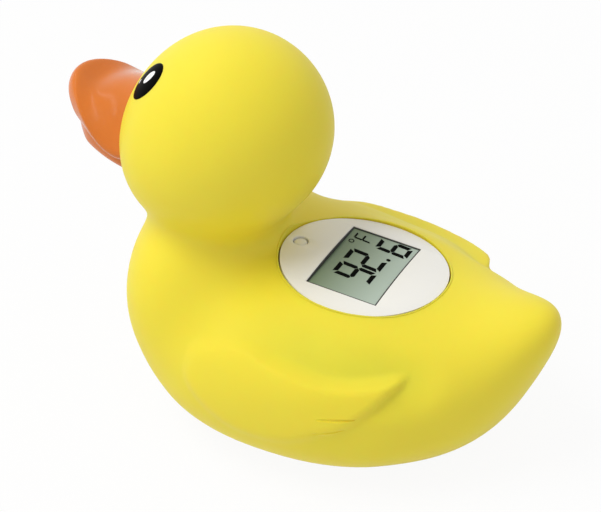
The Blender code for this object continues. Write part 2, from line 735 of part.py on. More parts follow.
def build_strips(frame, look):
    for side, name in ((-1, "connector_strip_head"), (1, "connector_strip_tail")):
        y = side * STRIP_OFFSET
        low = (-STRIP_LENGTH / 2, y - STRIP_WIDTH / 2, HOLDER_BOTTOM)
        high = (STRIP_LENGTH / 2, y + STRIP_WIDTH / 2, HOLDER_TOP)
        finish(box(name, low, high, frame), name, look)


def board_screw_x():
    return CASE_INNER - LEDGE_REACH * 0.5


def build_board(frame, look):
    semi = CASE_INNER - 0.4 * MM
    board = oval("circuit_board", semi, semi * STRETCH, BOARD_BOTTOM, BOARD_TOP, parent=frame)
    for side in (-1, 1):
        centre = (side * board_screw_x(), 0.0)
        hole_radius = BOARD_SCREW_RADIUS + CLEARANCE
        boolean(board, cylinder("screw_hole", hole_radius, 2 * BOARD_BOTTOM, 0.0, centre, frame, 12))
    return finish(board, "circuit_board", look)


def build_board_screws(frame, look):
    for side, name in ((-1, "board_screw_right"), (1, "board_screw_left")):
        head = 0.7 * MM
        top = BOARD_TOP + CLEARANCE + 0.6 * MM
        profile = [(0.0, top), (head * 0.8, top), (head, top - 0.2 * MM), (head, BOARD_TOP + CLEARANCE),
                   (BOARD_SCREW_RADIUS, BOARD_TOP + CLEARANCE), (BOARD_SCREW_RADIUS, BELOW_BOARD - 1.4 * MM),
                   (0.0, BELOW_BOARD - 1.6 * MM)]
        screw = turned(name, profile, 16, centre=(side * board_screw_x(), 0.0), parent=frame)
        finish(screw, name, look)


def build_board_parts(frame, looks):
    blob_radius = 3.6 * MM
    profile = [(0.0, BELOW_BOARD), (blob_radius, BELOW_BOARD), (blob_radius * 0.9, BELOW_BOARD - 0.7 * MM),
               (blob_radius * 0.55, BELOW_BOARD - 1.2 * MM), (0.0, BELOW_BOARD - 1.4 * MM)]
    blob = turned("chip_cover", profile, 24, centre=(-4.0 * MM, 3.0 * MM), parent=frame)
    finish(blob, "chip_cover", looks["black_resin"])

    radius = 1.0 * MM
    crystal = cylinder("timing_crystal", radius, -3.0 * MM, 3.0 * MM, parent=frame, segments=16)
    crystal.matrix_local = (Matrix.Translation((5.0 * MM, -6.0 * MM, BELOW_BOARD - radius))
                            @ Matrix.Rotation(math.radians(90.0), 4, "Y"))
    finish(crystal, "timing_crystal", looks["steel"])

    radius = 2.0 * MM
    height = 3.0 * MM
    profile = [(0.0, BELOW_BOARD), (radius, BELOW_BOARD), (radius, BELOW_BOARD - height + 0.3 * MM),
               (radius - 0.3 * MM, BELOW_BOARD - height), (0.0, BELOW_BOARD - height)]
    can = turned("capacitor", profile, 20, centre=(5.0 * MM, 6.0 * MM), parent=frame)
    finish(can, "capacitor", looks["black_resin"])


# Case pieces

def case_boss_places():
    y = case_centre_y(CASE_SPLIT_Z) + CASE_SCREW_Y
    return [(side * CASE_SCREW_X, y) for side in (-1, 1)]


def build_upper_case(frame, look):
    ledge = BOARD_BOTTOM - CLEARANCE
    bead = -LIP_DEPTH - CLEARANCE
    bottom = -PLATE_CENTRE[2]
    profile = [
        (CASE_RADIUS, -PLATE_DEPTH - CLEARANCE), (CASE_RADIUS, bead),
        (CASE_RADIUS + BEAD_REACH, bead - 0.3 * MM),
        (CASE_RADIUS + BEAD_REACH, bead - 0.8 * MM), (CASE_RADIUS, bead - 2.0 * MM), (CASE_RADIUS, bottom),
        (CASE_INNER, bottom), (CASE_INNER, ledge - 2.7 * MM), (CASE_INNER - LEDGE_REACH, ledge - 1.3 * MM),
        (CASE_INNER - LEDGE_REACH, ledge), (CASE_INNER, ledge), (CASE_INNER, -PLATE_DEPTH - CLEARANCE),
    ]
    case = turned("upper_case", profile, 40, closed=True, stretch_y=STRETCH, parent=frame)
    boss_top = CASE_SPLIT_Z + CASE_BOSS_HEIGHT
    for centre in case_boss_places():
        boss = cylinder("boss", CASE_BOSS_RADIUS, -CASE_BOSS_HEIGHT, boss_top, centre, segments=20)
        boolean(case, boss, "UNION")
    reach = 60.0 * MM
    boolean(case, box("split", (-reach, -reach, -reach), (reach, reach, CASE_SPLIT_Z)))
    for centre in case_boss_places():
        hole = cylinder("pilot", CASE_SCREW_RADIUS + CLEARANCE, 0.0, boss_top - MM, centre, segments=16)
        boolean(case, hole)
    for side in (-1, 1):
        hole = cylinder("board_pilot", BOARD_SCREW_RADIUS + CLEARANCE, ledge - 4.0 * MM, 0.0,
                        (side * board_screw_x(), 0.0), frame, 12)
        boolean(case, hole)
    return finish(case, "upper_case", look)


def build_lower_case(look):
    flange = (0.0, case_centre_y(CASE_SPLIT_Z))
    middle = (0.0, CUP_CENTRE_Y)
    over = 2 * FLANGE_TOP_Z
    case = oval("lower_case", CASE_RADIUS, CASE_RADIUS * STRETCH, FLANGE_BOTTOM_Z, FLANGE_TOP_Z, flange)
    flange_middle = FLANGE_BOTTOM_Z + FLANGE_THICKNESS / 2
    boolean(case, cylinder("cup", CUP_RADIUS, CUP_BOTTOM_Z, flange_middle, middle, segments=36), "UNION")
    lip_radius = CASE_INNER - CLEARANCE
    lip_top = FLANGE_TOP_Z + LIP_HEIGHT
    lip = oval("lip", lip_radius, lip_radius * STRETCH, flange_middle, lip_top, flange)
    boolean(case, lip, "UNION")
    lip_inner = lip_radius - CASE_WALL
    hollow = oval("lip_hollow", lip_inner, lip_inner * STRETCH, FLANGE_TOP_Z, over, flange)
    boolean(case, hollow)
    cup_inner = CUP_RADIUS - CUP_WALL
    boolean(case, cylinder("cup_hollow", cup_inner, CUP_FLOOR_Z, over, middle, segments=36))
    for centre in case_boss_places():
        room = CASE_BOSS_RADIUS + CLEARANCE
        boolean(case, cylinder("boss_room", room, FLANGE_TOP_Z, over, centre, segments=20))
        hole_radius = CASE_SCREW_RADIUS + CLEARANCE
        boolean(case, cylinder("case_screw_hole", hole_radius, 0.0, over, centre, segments=16))
    pocket = (0.0, POCKET_Y)
    floor_middle = CUP_BOTTOM_Z + CUP_FLOOR / 2
    boolean(case, cylinder("pocket", POCKET_OUTER, floor_middle, POCKET_TOP_Z, pocket, segments=32), "UNION")
    boolean(case, cylinder("pocket_bore", POCKET_INNER, -MM, POCKET_CEILING_Z, pocket, segments=32))
    tail_hole = cylinder("tail_hole", 0.8 * MM, POCKET_CEILING_Z - MM, 2 * POCKET_TOP_Z, pocket, segments=12)
    boolean(case, tail_hole)
    slot = contact_box(CLEARANCE)
    boolean(case, slot)
    seal_radius = DOOR_RADIUS + 0.2 * MM
    seal_top = CUP_BOTTOM_Z + 0.8 * MM
    boolean(case, cylinder("door_seal_room", seal_radius, -MM, seal_top, pocket, segments=32))
    sensor = (0.0, SENSOR_Y)
    boolean(case, cylinder("sensor_room", SENSOR_FLANGE + CLEARANCE, -MM, CUP_BOTTOM_Z + MM, sensor))
    boolean(case, cylinder("lead_hole", 1.5 * MM, -MM, CUP_FLOOR_Z + MM, sensor, segments=16))
    for side in (-1, 1):
        pilot = cylinder("cover_pilot", COVER_SCREW_RADIUS + CLEARANCE, -MM, CUP_FLOOR_Z - 0.3 * MM,
                         (side * COVER_SCREW_X, COVER_SCREW_Y), segments=16)
        boolean(case, pilot)
    return finish(case, "lower_case", look)


def contact_box(margin):
    """Place of the side contact, a strip let into the cell pocket's wall."""
    middle = -(POCKET_INNER + 0.3 * MM)
    half = 0.2 * MM + margin
    wide = 1.2 * MM + margin
    low = (middle - half, POCKET_Y - wide, CELL_START_Z + 0.4 * MM - margin)
    high = (middle + half, POCKET_Y + wide, POCKET_TOP_Z + 0.8 * MM + margin)
    return box("contact", low, high)


def build_contact(look):
    return finish(contact_box(0.0), "side_contact", look)


def build_case_screws(look):
    head = 1.9 * MM
    seat = FLANGE_BOTTOM_Z - CLEARANCE
    tip = CASE_SPLIT_Z + CASE_BOSS_HEIGHT - 2.0 * MM
    profile = [(0.0, tip + 0.6 * MM), (CASE_SCREW_RADIUS, tip), (CASE_SCREW_RADIUS, seat), (head, seat),
               (head, seat - 0.8 * MM), (head * 0.7, seat - 1.2 * MM), (0.0, seat - 1.3 * MM)]
    for centre, name in zip(case_boss_places(), ("case_screw_right", "case_screw_left")):
        finish(turned(name, profile, 16, centre=centre), name, look)


def build_cover(look):
    middle = (0.0, CUP_CENTRE_Y)
    edge = 0.3 * MM
    profile = [(0.0, COVER_TOP_Z), (COVER_RADIUS, COVER_TOP_Z), (COVER_RADIUS, COVER_BOTTOM_Z + edge),
               (COVER_RADIUS - edge, COVER_BOTTOM_Z), (0.0, COVER_BOTTOM_Z)]
    cover = turned("belly_cover", profile, 36, centre=middle)
    hole_radius = DOOR_RADIUS + CLEARANCE
    boolean(cover, cylinder("door_hole", hole_radius, -MM, RECESS_DEPTH, (0.0, POCKET_Y), segments=40))
    boolean(cover, cylinder("sensor_hole", SENSOR_RADIUS + CLEARANCE, -MM, RECESS_DEPTH, (0.0, SENSOR_Y)))
    for side in (-1, 1):
        centre = (side * COVER_SCREW_X, COVER_SCREW_Y)
        hole_radius = COVER_SCREW_RADIUS + CLEARANCE
        boolean(cover, cylinder("screw_hole", hole_radius, -MM, RECESS_DEPTH, centre, segments=16))
        seat = COVER_BOTTOM_Z + SCREW_SEAT_DEPTH
        boolean(cover, cylinder("screw_seat", SCREW_SEAT_RADIUS, -MM, seat, centre, segments=20))
    return finish(cover, "belly_cover", look)


def build_cover_screws(look):
    head = SCREW_SEAT_RADIUS - CLEARANCE
    seat = COVER_BOTTOM_Z + SCREW_SEAT_DEPTH - CLEARANCE
    tip = CUP_FLOOR_Z - 0.6 * MM
    profile = [(0.0, tip), (COVER_SCREW_RADIUS * 0.6, tip), (COVER_SCREW_RADIUS, tip - 0.3 * MM),
               (COVER_SCREW_RADIUS, seat), (head, seat), (head, seat - 0.25 * MM),
               (head * 0.8, COVER_BOTTOM_Z), (0.0, COVER_BOTTOM_Z)]
    for side, name in ((-1, "cover_screw_right"), (1, "cover_screw_left")):
        finish(turned(name, profile, 16, centre=(side * COVER_SCREW_X, COVER_SCREW_Y)), name, look)


def build_cover_seal(look):
    inner = CUP_RADIUS + CLEARANCE + 0.4 * MM
    outer = COVER_RADIUS - 0.2 * MM
    low = COVER_TOP_Z + CLEARANCE
    high = low + SEAL_THICKNESS
    profile = [(inner, high), (outer, high), (outer, low), (inner, low)]
    seal = turned("belly_seal", profile, 36, closed=True, centre=(0.0, CUP_CENTRE_Y))
    return finish(seal, "belly_seal", look)


def build_door(looks):
    edge = 0.25 * MM
    plug = CELL_RADIUS - 0.1 * MM
    plug_top = CELL_START_Z - CLEARANCE
    profile = [(0.0, plug_top), (plug, plug_top), (plug, COVER_TOP_Z), (DOOR_RADIUS, COVER_TOP_Z),
               (DOOR_RADIUS, COVER_BOTTOM_Z + edge), (DOOR_RADIUS - edge, COVER_BOTTOM_Z),
               (0.0, COVER_BOTTOM_Z)]
    door = turned("cell_door", profile, 40, centre=(0.0, POCKET_Y))
    half = COIN_SLOT_LENGTH / 2
    wide = COIN_SLOT_WIDTH / 2
    slot_top = COVER_BOTTOM_Z + COIN_SLOT_DEPTH
    slot = box("coin_slot", (-half, POCKET_Y - wide, -MM), (half, POCKET_Y + wide, slot_top))
    boolean(door, slot)
    finish(door, "cell_door", looks["white_plastic"])
    low = COVER_TOP_Z + CLEARANCE
    inner = POCKET_INNER + 0.1 * MM
    outer = DOOR_RADIUS - 0.1 * MM
    high = low + 0.5 * MM
    profile = [(inner, high), (outer, high), (outer, low), (inner, low)]
    seal = turned("door_seal", profile, 32, closed=True, centre=(0.0, POCKET_Y))
    finish(seal, "door_seal", looks["black_rubber"])


def build_cells(look):
    rim = CELL_RADIUS - 1.1 * MM
    for index, name in enumerate(("button_cell_lower", "button_cell_upper")):
        low = CELL_START_Z + index * (CELL_HEIGHT + CLEARANCE)
        high = low + CELL_HEIGHT
        shoulder = high - 0.4 * MM
        profile = [(0.0, high), (rim, high), (rim, shoulder), (CELL_RADIUS - 0.3 * MM, shoulder),
                   (CELL_RADIUS, high - 0.8 * MM), (CELL_RADIUS, low + 0.2 * MM),
                   (CELL_RADIUS - 0.2 * MM, low), (0.0, low)]
        finish(turned(name, profile, 28, centre=(0.0, POCKET_Y)), name, look)


def build_spring(look):
    """A conical spring over the cells, its tail running up through the pocket's ceiling."""
    low = CELLS_TOP_Z + CLEARANCE + SPRING_WIRE
    high = SPRING_TOP_Z - SPRING_WIRE
    wide = 3.6 * MM
    narrow = 1.2 * MM
    steps = 9
    points = []
    for index in range(SPRING_TURNS * steps + 1):
        share = index / (SPRING_TURNS * steps)
        radius = wide + (narrow - wide) * share
        angle = 2.0 * math.pi * SPRING_TURNS * share
        height = low + (high - low) * share
        points.append((radius * math.cos(angle), POCKET_Y + radius * math.sin(angle), height))
    points.append((0.25 * narrow, POCKET_Y, high + 0.1 * MM))
    points.append((0.0, POCKET_Y, high + 0.6 * MM))
    points.append((0.0, POCKET_Y, POCKET_TOP_Z + MM))
    return wire("cell_spring", points, SPRING_WIRE, look)


def build_sensor(looks):
    inner = SENSOR_RADIUS - SENSOR_WALL
    top = CUP_BOTTOM_Z + 0.7 * MM
    profile = [(inner, top), (SENSOR_FLANGE, top), (SENSOR_FLANGE, CUP_BOTTOM_Z),
               (SENSOR_RADIUS, CUP_BOTTOM_Z),
               (SENSOR_RADIUS, SENSOR_TIP_Z + 0.65 * MM), (SENSOR_RADIUS * 0.72, SENSOR_TIP_Z + 0.15 * MM),
               (0.0, SENSOR_TIP_Z), (0.0, SENSOR_TIP_Z + SENSOR_WALL),
               (SENSOR_RADIUS * 0.62, SENSOR_TIP_Z + SENSOR_WALL + 0.15 * MM),
               (inner, SENSOR_TIP_Z + 0.95 * MM),
               (inner, top)]
    cap = turned("sensor_cap", profile, 28, centre=(0.0, SENSOR_Y))
    finish(cap, "sensor_cap", looks["steel"])
    bm = bmesh.new()
    radius = 0.9 * MM
    bmesh.ops.create_uvsphere(bm, u_segments=16, v_segments=10, radius=radius)
    bead = mesh_object("sensing_bead", bm)
    bead.location = (0.0, SENSOR_Y, SENSOR_TIP_Z + SENSOR_WALL + CLEARANCE + radius)
    finish(bead, "sensing_bead", looks["black_resin"])


def board_point(x, y_local, drop):
    """A place under the circuit board, in world terms."""
    lean = Matrix.Translation(PLATE_CENTRE) @ Matrix.Rotation(-PLATE_LEAN, 4, "X")
    return lean @ Vector((x, y_local, BELOW_BOARD - drop))


def build_leads(looks):
    bead_top = SENSOR_TIP_Z + SENSOR_WALL + 2 * CLEARANCE + 1.8 * MM
    for side, name in ((-1, "sensor_lead_right"), (1, "sensor_lead_left")):
        end = board_point(side * LEAD_SPREAD, LEAD_BOARD_Y, LEAD_RADIUS)
        points = [(side * 0.45 * MM, SENSOR_Y, bead_top),
                  (side * 0.6 * MM, SENSOR_Y - 0.7 * MM, bead_top + 4.0 * MM),
                  (side * 0.75 * LEAD_SPREAD, SENSOR_Y - 2.0 * MM, FLANGE_BOTTOM_Z),
                  (side * LEAD_SPREAD, SENSOR_Y - 1.4 * MM, LEAD_KNEE_Z),
                  (end.x, end.y - 0.6 * MM, end.z - 3.0 * MM), tuple(end)]
        wire(name, smooth_path(points, 3), LEAD_RADIUS, looks["red_wire"])
    end = board_point(6.5 * MM, 0.0, LEAD_RADIUS)
    start_z = POCKET_TOP_Z + MM + CLEARANCE + LEAD_RADIUS
    points = [(0.3 * MM, POCKET_Y, start_z), (1.6 * MM, POCKET_Y + 0.4 * MM, start_z + 2.2 * MM),
              (4.6 * MM, POCKET_Y + 0.8 * MM, start_z + 4.2 * MM), tuple(end)]
    wire("spring_lead", smooth_path(points, 3), LEAD_RADIUS, looks["black_wire"])
    end = board_point(-9.4 * MM, -3.5 * MM, LEAD_RADIUS)
    x = -(POCKET_INNER + 0.3 * MM)
    start_z = POCKET_TOP_Z + 0.8 * MM + CLEARANCE + LEAD_RADIUS
    points = [(x, POCKET_Y, start_z), (x - 0.8 * MM, POCKET_Y - 0.6 * MM, start_z + 2.5 * MM),
              (end.x + 0.4 * MM, end.y + 0.4 * MM, end.z - 2.5 * MM), tuple(end)]
    wire("contact_lead", smooth_path(points, 3), LEAD_RADIUS, looks["red_wire"])


def looks():
    return {
        "yellow_vinyl": material("yellow_vinyl", (0.93, 0.79, 0.08), 0.42),
        "orange_vinyl": material("orange_vinyl", (0.80, 0.29, 0.06), 0.25),
        "black_gloss": material("black_gloss", (0.006, 0.006, 0.005), 0.15),
        "white_plastic": material("white_plastic", (0.86, 0.86, 0.84), 0.35),
        "lens_plastic": material("lens_plastic", (0.85, 0.85, 0.83), 0.3),
        "screen_glass": material("screen_glass", (0.26, 0.33, 0.24), 0.2),
        "grey_plastic": material("grey_plastic", (0.45, 0.45, 0.45), 0.5),
        "strip_rubber": material("strip_rubber", (0.75, 0.35, 0.30), 0.6),
        "board_green": material("board_green", (0.03, 0.22, 0.08), 0.45),
        "black_resin": material("black_resin", (0.02, 0.02, 0.02), 0.5),
        "black_rubber": material("black_rubber", (0.03, 0.03, 0.03), 0.7),
        "steel": material("steel", (0.62, 0.62, 0.60), 0.25, 1.0),
        "red_wire": material("red_wire", (0.55, 0.03, 0.02), 0.5),
        "black_wire": material("black_wire", (0.02, 0.02, 0.02), 0.5),
    }


def main():
    clear_scene()
    frame = display_frame()
    kinds = looks()
    build_duck_body(frame, kinds["yellow_vinyl"])
    build_beak(kinds["orange_vinyl"])
    for side in (-1, 1):
        build_eye(side, kinds["black_gloss"])
    build_face_plate(frame, kinds["white_plastic"])
    build_light_pipe(frame, kinds["lens_plastic"])
    build_alarm_led(frame, kinds["lens_plastic"])
    build_panel(frame, kinds["screen_glass"])
    build_holder(frame, kinds["grey_plastic"])
    build_strips(frame, kinds["strip_rubber"])
    build_board(frame, kinds["board_green"])
    build_board_screws(frame, kinds["steel"])
    build_board_parts(frame, kinds)
    build_upper_case(frame, kinds["grey_plastic"])
    build_lower_case(kinds["grey_plastic"])
    build_contact(kinds["steel"])
    build_case_screws(kinds["steel"])
    build_cover(kinds["white_plastic"])
    build_cover_screws(kinds["steel"])
    build_cover_seal(kinds["black_rubber"])
    build_door(kinds)
    build_cells(kinds["steel"])
    build_spring(kinds["steel"])
    build_sensor(kinds)
    build_leads(kinds)


main()
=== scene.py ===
import json
import math

import bmesh
import bpy
import numpy as np
from mathutils import Matrix, Vector


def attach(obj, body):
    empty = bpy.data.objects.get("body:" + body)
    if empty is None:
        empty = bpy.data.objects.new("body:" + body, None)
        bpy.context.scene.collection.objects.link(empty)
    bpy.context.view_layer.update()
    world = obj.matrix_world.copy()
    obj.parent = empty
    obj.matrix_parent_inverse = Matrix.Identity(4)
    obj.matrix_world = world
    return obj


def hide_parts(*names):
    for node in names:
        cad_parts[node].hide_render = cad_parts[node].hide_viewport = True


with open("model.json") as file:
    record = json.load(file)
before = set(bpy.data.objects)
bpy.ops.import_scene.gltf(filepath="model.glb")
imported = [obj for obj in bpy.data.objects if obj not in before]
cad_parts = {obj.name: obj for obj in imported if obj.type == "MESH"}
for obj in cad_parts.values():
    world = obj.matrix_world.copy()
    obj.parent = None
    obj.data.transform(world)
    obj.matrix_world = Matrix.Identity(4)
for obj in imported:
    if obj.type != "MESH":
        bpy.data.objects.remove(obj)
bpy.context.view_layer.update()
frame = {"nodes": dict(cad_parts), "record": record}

NODES = frame["nodes"]
MM = 0.001


def in_mm(*points):
    return [tuple(value * MM for value in point) for point in points]


# Duck form, the same round masses as the solids
BODY_CENTRE = (0.0, 5.4 * MM, 17.8 * MM)
BODY_SEMI = (35.0 * MM, 40.1 * MM, 20.3 * MM)
BODY_SQUARENESS = 2.29
CHEST_CENTRE = (0.0, -22.0 * MM, 28.9 * MM)
CHEST_SEMI = (27.4 * MM, 15.8 * MM, 18.9 * MM)
TAIL_CENTRE = (0.0, 39.0 * MM, 20.7 * MM)
TAIL_SEMI = (12.5 * MM, 22.2 * MM, 8.9 * MM)
TAIL_LIFT = math.radians(43.5)
HEAD_CENTRE = (0.0, -16.8 * MM, 62.1 * MM)
HEAD_RADIUS = 20.7 * MM
CHEEK_CENTRE = (0.0, -20.8 * MM, 57.8 * MM)
CHEEK_SEMI = (22.6 * MM, 19.1 * MM, 18.5 * MM)
CHEST_BLEND = 8.3 * MM
TAIL_BLEND = 14.7 * MM
NECK_BLEND = 6.7 * MM
CHEEK_BLEND = 5.1 * MM
BELLY_BLEND = 0.4 * MM

# Skin meshes
COARSE_MESH = 1.8 * MM
FINE_MESH = 0.8 * MM
CAVITY_MESH = 5.0 * MM
RELAX_ROUNDS = 8
FINE_ROUNDS = 3
PROBE = 0.01 * MM
SKIN_WALL = 2.2 * MM
CLEARANCE = 0.3 * MM

# Wing in side view as (y, z): its upper edge, the crisp rear edge below the tip, and the soft front
WING_UPPER = in_mm((-8.3, 31.0), (0.8, 31.4), (5.8, 30.4), (11.4, 29.6), (16.6, 28.8), (22.2, 28.5),
                   (26.8, 28.7), (33.2, 28.9))
WING_REAR = in_mm((33.2, 28.9), (32.6, 27.0), (30.8, 24.9), (28.4, 22.6), (24.5, 19.3), (19.8, 16.4))
WING_FRONT = in_mm((19.8, 16.4), (14.3, 13.8), (7.8, 12.2), (0.6, 12.3), (-4.9, 14.0), (-10.7, 17.5),
                   (-13.4, 20.8), (-13.8, 24.5), (-12.4, 28.6), (-8.3, 31.0))
WING_RELIEF = 0.65 * MM
WING_EDGE = 1.3 * MM
WING_REAR_EDGE = 2.2 * MM
WING_FRONT_EDGE = 3.2 * MM
EDGE_TURN_Y = -9.0 * MM
EDGE_TURN_LENGTH = 8.0 * MM
WING_HOLLOW = 0.35 * MM
HOLLOW_REACH = 9.0 * MM
GROOVE_DEPTH = 1.8 * MM
GROOVE_REACH = 6.0 * MM
GROOVE_START_Y = -6.0 * MM
GROOVE_RISE = 20.0 * MM
REAR_GROOVE_DEPTH = 0.4 * MM
REAR_GROOVE_REACH = 7.0 * MM
WING_INNER_X = 15.0 * MM
WING_END_Y = 43.0 * MM
WING_FADE = 7.0 * MM
RELIEF_BAND = 6.0 * MM
FEATHER_LINES = [in_mm((18.4, 21.8), (26.1, 22.5)), in_mm((17.2, 18.0), (24.2, 19.8))]
FEATHER_DEPTH = 0.34 * MM
FEATHER_WIDTH = 0.36 * MM

# Display plate
PLATE_CENTRE = (0.0, 13.0 * MM, 36.9 * MM)
PLATE_LEAN = math.radians(4.6)
PLATE_SEMI_X = 16.3 * MM
PLATE_SEMI_Y = 18.0 * MM
PLATE_CROWN = 1.06 * MM
PLATE_DEPTH = 2.2 * MM
PLATE_EDGE = 0.12 * MM
HOLE_HEADROOM = 2.0 * MM
LIP_WALL = 2.4 * MM
LIP_DEPTH = 4.6 * MM
SCREEN_WIDTH = 22.5 * MM
SCREEN_HEIGHT = 15.9 * MM
LIGHT_OFFSET = 14.9 * MM
LIGHT_RADIUS = 1.4 * MM
LCD_FACE = -0.8 * MM
# Dark liner in the display's opening: partly a dark frame round the glass, partly painted shade on the
# walls
LINER_WIDTH = 0.3 * MM
LINER_DROP = 0.14 * MM
LINER_GAP = 0.02 * MM
LINER_DEPTH = 0.5 * MM
RIM_BEAD = 0.22 * MM

# Digits, placed from the display's upper left corner as it is read: character, left, top, width and
# height in millimetres, and the weight of its strokes
CHARACTERS = [("9", 4.5, 3.3, 4.6, 8.7, 1.0), ("2", 9.5, 3.3, 4.7, 8.7, 1.0),
              ("6", 16.7, 7.4, 4.1, 7.5, 0.95), ("F", 17.9, 1.95, 2.2, 4.2, 0.42)]
DIGIT_STROKE = 1.0 * MM
DIGIT_GAP = 0.1 * MM
DIGIT_SLANT = 0.06
SEGMENT_THICKNESS = 0.05 * MM
POINT_CENTRE = (14.65 * MM, 11.85 * MM)
POINT_SEMI = (0.42 * MM, 0.5 * MM)
DEGREE_CENTRE = (16.85 * MM, 2.15 * MM)
DEGREE_REACHES = (0.62 * MM, 0.42 * MM)
DEGREE_STRETCH = 1.05
# The places were read at the plate's face, and each unit of depth below it shifts them by this much
SIGHT_SLOPE = Vector((1.237, -0.515))

# Belly openings
COVER_CENTRE_Y = 8.0 * MM
COVER_RADIUS = 15.5 * MM
COVER_RECESS = 2.8 * MM
CUP_RADIUS = 13.0 * MM
BELLY_WALL = 5.0 * MM

# Eyes
EYE_BEARING = math.radians(34.3)
EYE_HEIGHT = math.radians(35.7)
EYE_ROLL = math.radians(-20.0)
EYE_SEMI_LONG = 4.9 * MM
EYE_SEMI_SHORT = 3.95 * MM
EYE_PROUD = 0.35 * MM
GLINT_CENTRE = (0.1 * MM, 0.95 * MM)
GLINT_SEMI = (1.19 * MM, 2.03 * MM)
GLINT_CORE_SEMI = (0.75 * MM, 1.5 * MM)
GLINT_TILT = math.radians(10.8)
GLINT_PROUD = 0.7 * EYE_PROUD
GLINT_RISE = 0.42 * EYE_PROUD
CORE_RISE = 0.5 * EYE_PROUD
SPARK_CENTRE = (-1.33 * MM, -2.35 * MM)
SPARK_SEMI = (0.33 * MM, 0.72 * MM)
SPARK_TILT = math.radians(44.0)
SPARK_PROUD = 0.5 * EYE_PROUD
SPARK_RISE = 0.45 * EYE_PROUD

# Beak: each bill's middle height and droop along its length are curves a + b t + c t^2
BEAK_ROOT_Y = -36.0 * MM
BEAK_BACK_Y = -33.5 * MM
UPPER_HALF_WIDTH = 13.2 * MM
UPPER_LENGTH = 18.6 * MM
UPPER_THICKNESS = 4.0 * MM
UPPER_RIDGE = (67.4 * MM, -9.2 * MM, 8.8 * MM)
UPPER_DROOP = (11.4 * MM, -7.0 * MM, -4.0 * MM)
DISH_DEPTH = 1.5 * MM
DISH_HALF_WIDTH = 0.5 * UPPER_HALF_WIDTH
DISH_PLACE = 0.68
DISH_LENGTH = 0.2
LOWER_HALF_WIDTH = 11.0 * MM
LOWER_LENGTH = 17.4 * MM
LOWER_KEEL = (49.8 * MM, 3.0 * MM, 3.0 * MM)
LOWER_CURL = 1.8 * MM

# Camera, from the photograph's perspective
IMAGE_WIDTH = 601
IMAGE_HEIGHT = 512
CAMERA_AZIMUTH = math.radians(115.65)
CAMERA_ELEVATION = math.radians(34.85)
CAMERA_DISTANCE = 412.7 * MM
CAMERA_FOCAL_PX = 1987.1
CAMERA_TARGET = Vector((0.0, 12.9 * MM, 36.9 * MM))
TARGET_PX = (364.2, 262.8)
SENSOR_WIDTH = 36.0

# Light
KEY_PLACE = (0.28, -0.32, 0.80)
KEY_SIZE = 0.55
KEY_POWER = 3.9
STRIPS = [("strip_middle", (0.02, -0.33, 0.78), 0.35), ("strip_front", (-0.05, -0.56, 0.62), 0.25)]
STRIP_SIZE = (0.7, 0.04)
LAMP_AIM = Vector((0.0, 0.0, 0.03))
SKY_COLOUR = (1.0, 0.98, 0.95, 1.0)
SKY_STRENGTH = 0.58
FLOOR_SIZE = 3.0
FLOOR_COLOUR = (0.85, 0.85, 0.85, 1.0)
FLOOR_WHITE_SHARE = 0.93
WHITE = (1.0, 1.0, 1.0, 1.0)


# Small helpers

def link(name, mesh):
    made = bpy.data.objects.new(name, mesh)
    bpy.context.scene.collection.objects.link(made)
    return made


def mesh_object(name, bm):
    bmesh.ops.recalc_face_normals(bm, faces=bm.faces)
    mesh = bpy.data.meshes.new(name)
    bm.to_mesh(mesh)
    bm.free()
    return link(name, mesh)


def evaluated(item):
    """Apply an object's modifiers to its mesh."""
    bpy.context.view_layer.update()
    graph = bpy.context.evaluated_depsgraph_get()
    mesh = bpy.data.meshes.new_from_object(item.evaluated_get(graph))
    item.modifiers.clear()
    item.data = mesh
    return item


def boolean(item, cutter, operation="DIFFERENCE"):
    step = item.modifiers.new(operation.title(), "BOOLEAN")
    step.operation = operation
    step.solver = "EXACT"
    step.object = cutter
    evaluated(item)
    bpy.data.objects.remove(cutter, do_unlink=True)
    return item


def smooth(item, angle=40.0):
    item.data.shade_smooth()
    item.data.set_sharp_from_angle(angle=math.radians(angle))
    return item


def dress(item, look, slot, *nodes):
    """Give a piece its material and its body, and hide the nodes that it stands for. The slot is not used.
    """
    item.data.materials.clear()
    item.data.materials.append(look)
    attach(item, "root")
    if nodes:
        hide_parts(*nodes)
    return item


def oval(name, semi_x, semi_y, low, high, centre=(0.0, 0.0), matrix=Matrix(), segments=96):
    bm = bmesh.new()
    bmesh.ops.create_cone(bm, cap_ends=True, segments=segments, radius1=1.0, radius2=1.0, depth=1.0)
    bmesh.ops.scale(bm, vec=(semi_x, semi_y, high - low), verts=bm.verts)
    bmesh.ops.translate(bm, vec=(centre[0], centre[1], (low + high) / 2), verts=bm.verts)
    bmesh.ops.transform(bm, matrix=matrix, verts=bm.verts)
    return mesh_object(name, bm)


def box(name, low, high, matrix=Matrix()):
    bm = bmesh.new()
    bmesh.ops.create_cube(bm, size=1.0)
    size = [b - a for a, b in zip(low, high)]
    middle = [(a + b) / 2 for a, b in zip(low, high)]
    bmesh.ops.scale(bm, vec=size, verts=bm.verts)
    bmesh.ops.translate(bm, vec=middle, verts=bm.verts)
    bmesh.ops.transform(bm, matrix=matrix, verts=bm.verts)
    return mesh_object(name, bm)


# Materials

def shader_of(name):
    made = bpy.data.materials.new(name)
    made.use_nodes = True
    return made, made.node_tree.nodes["Principled BSDF"], made.node_tree


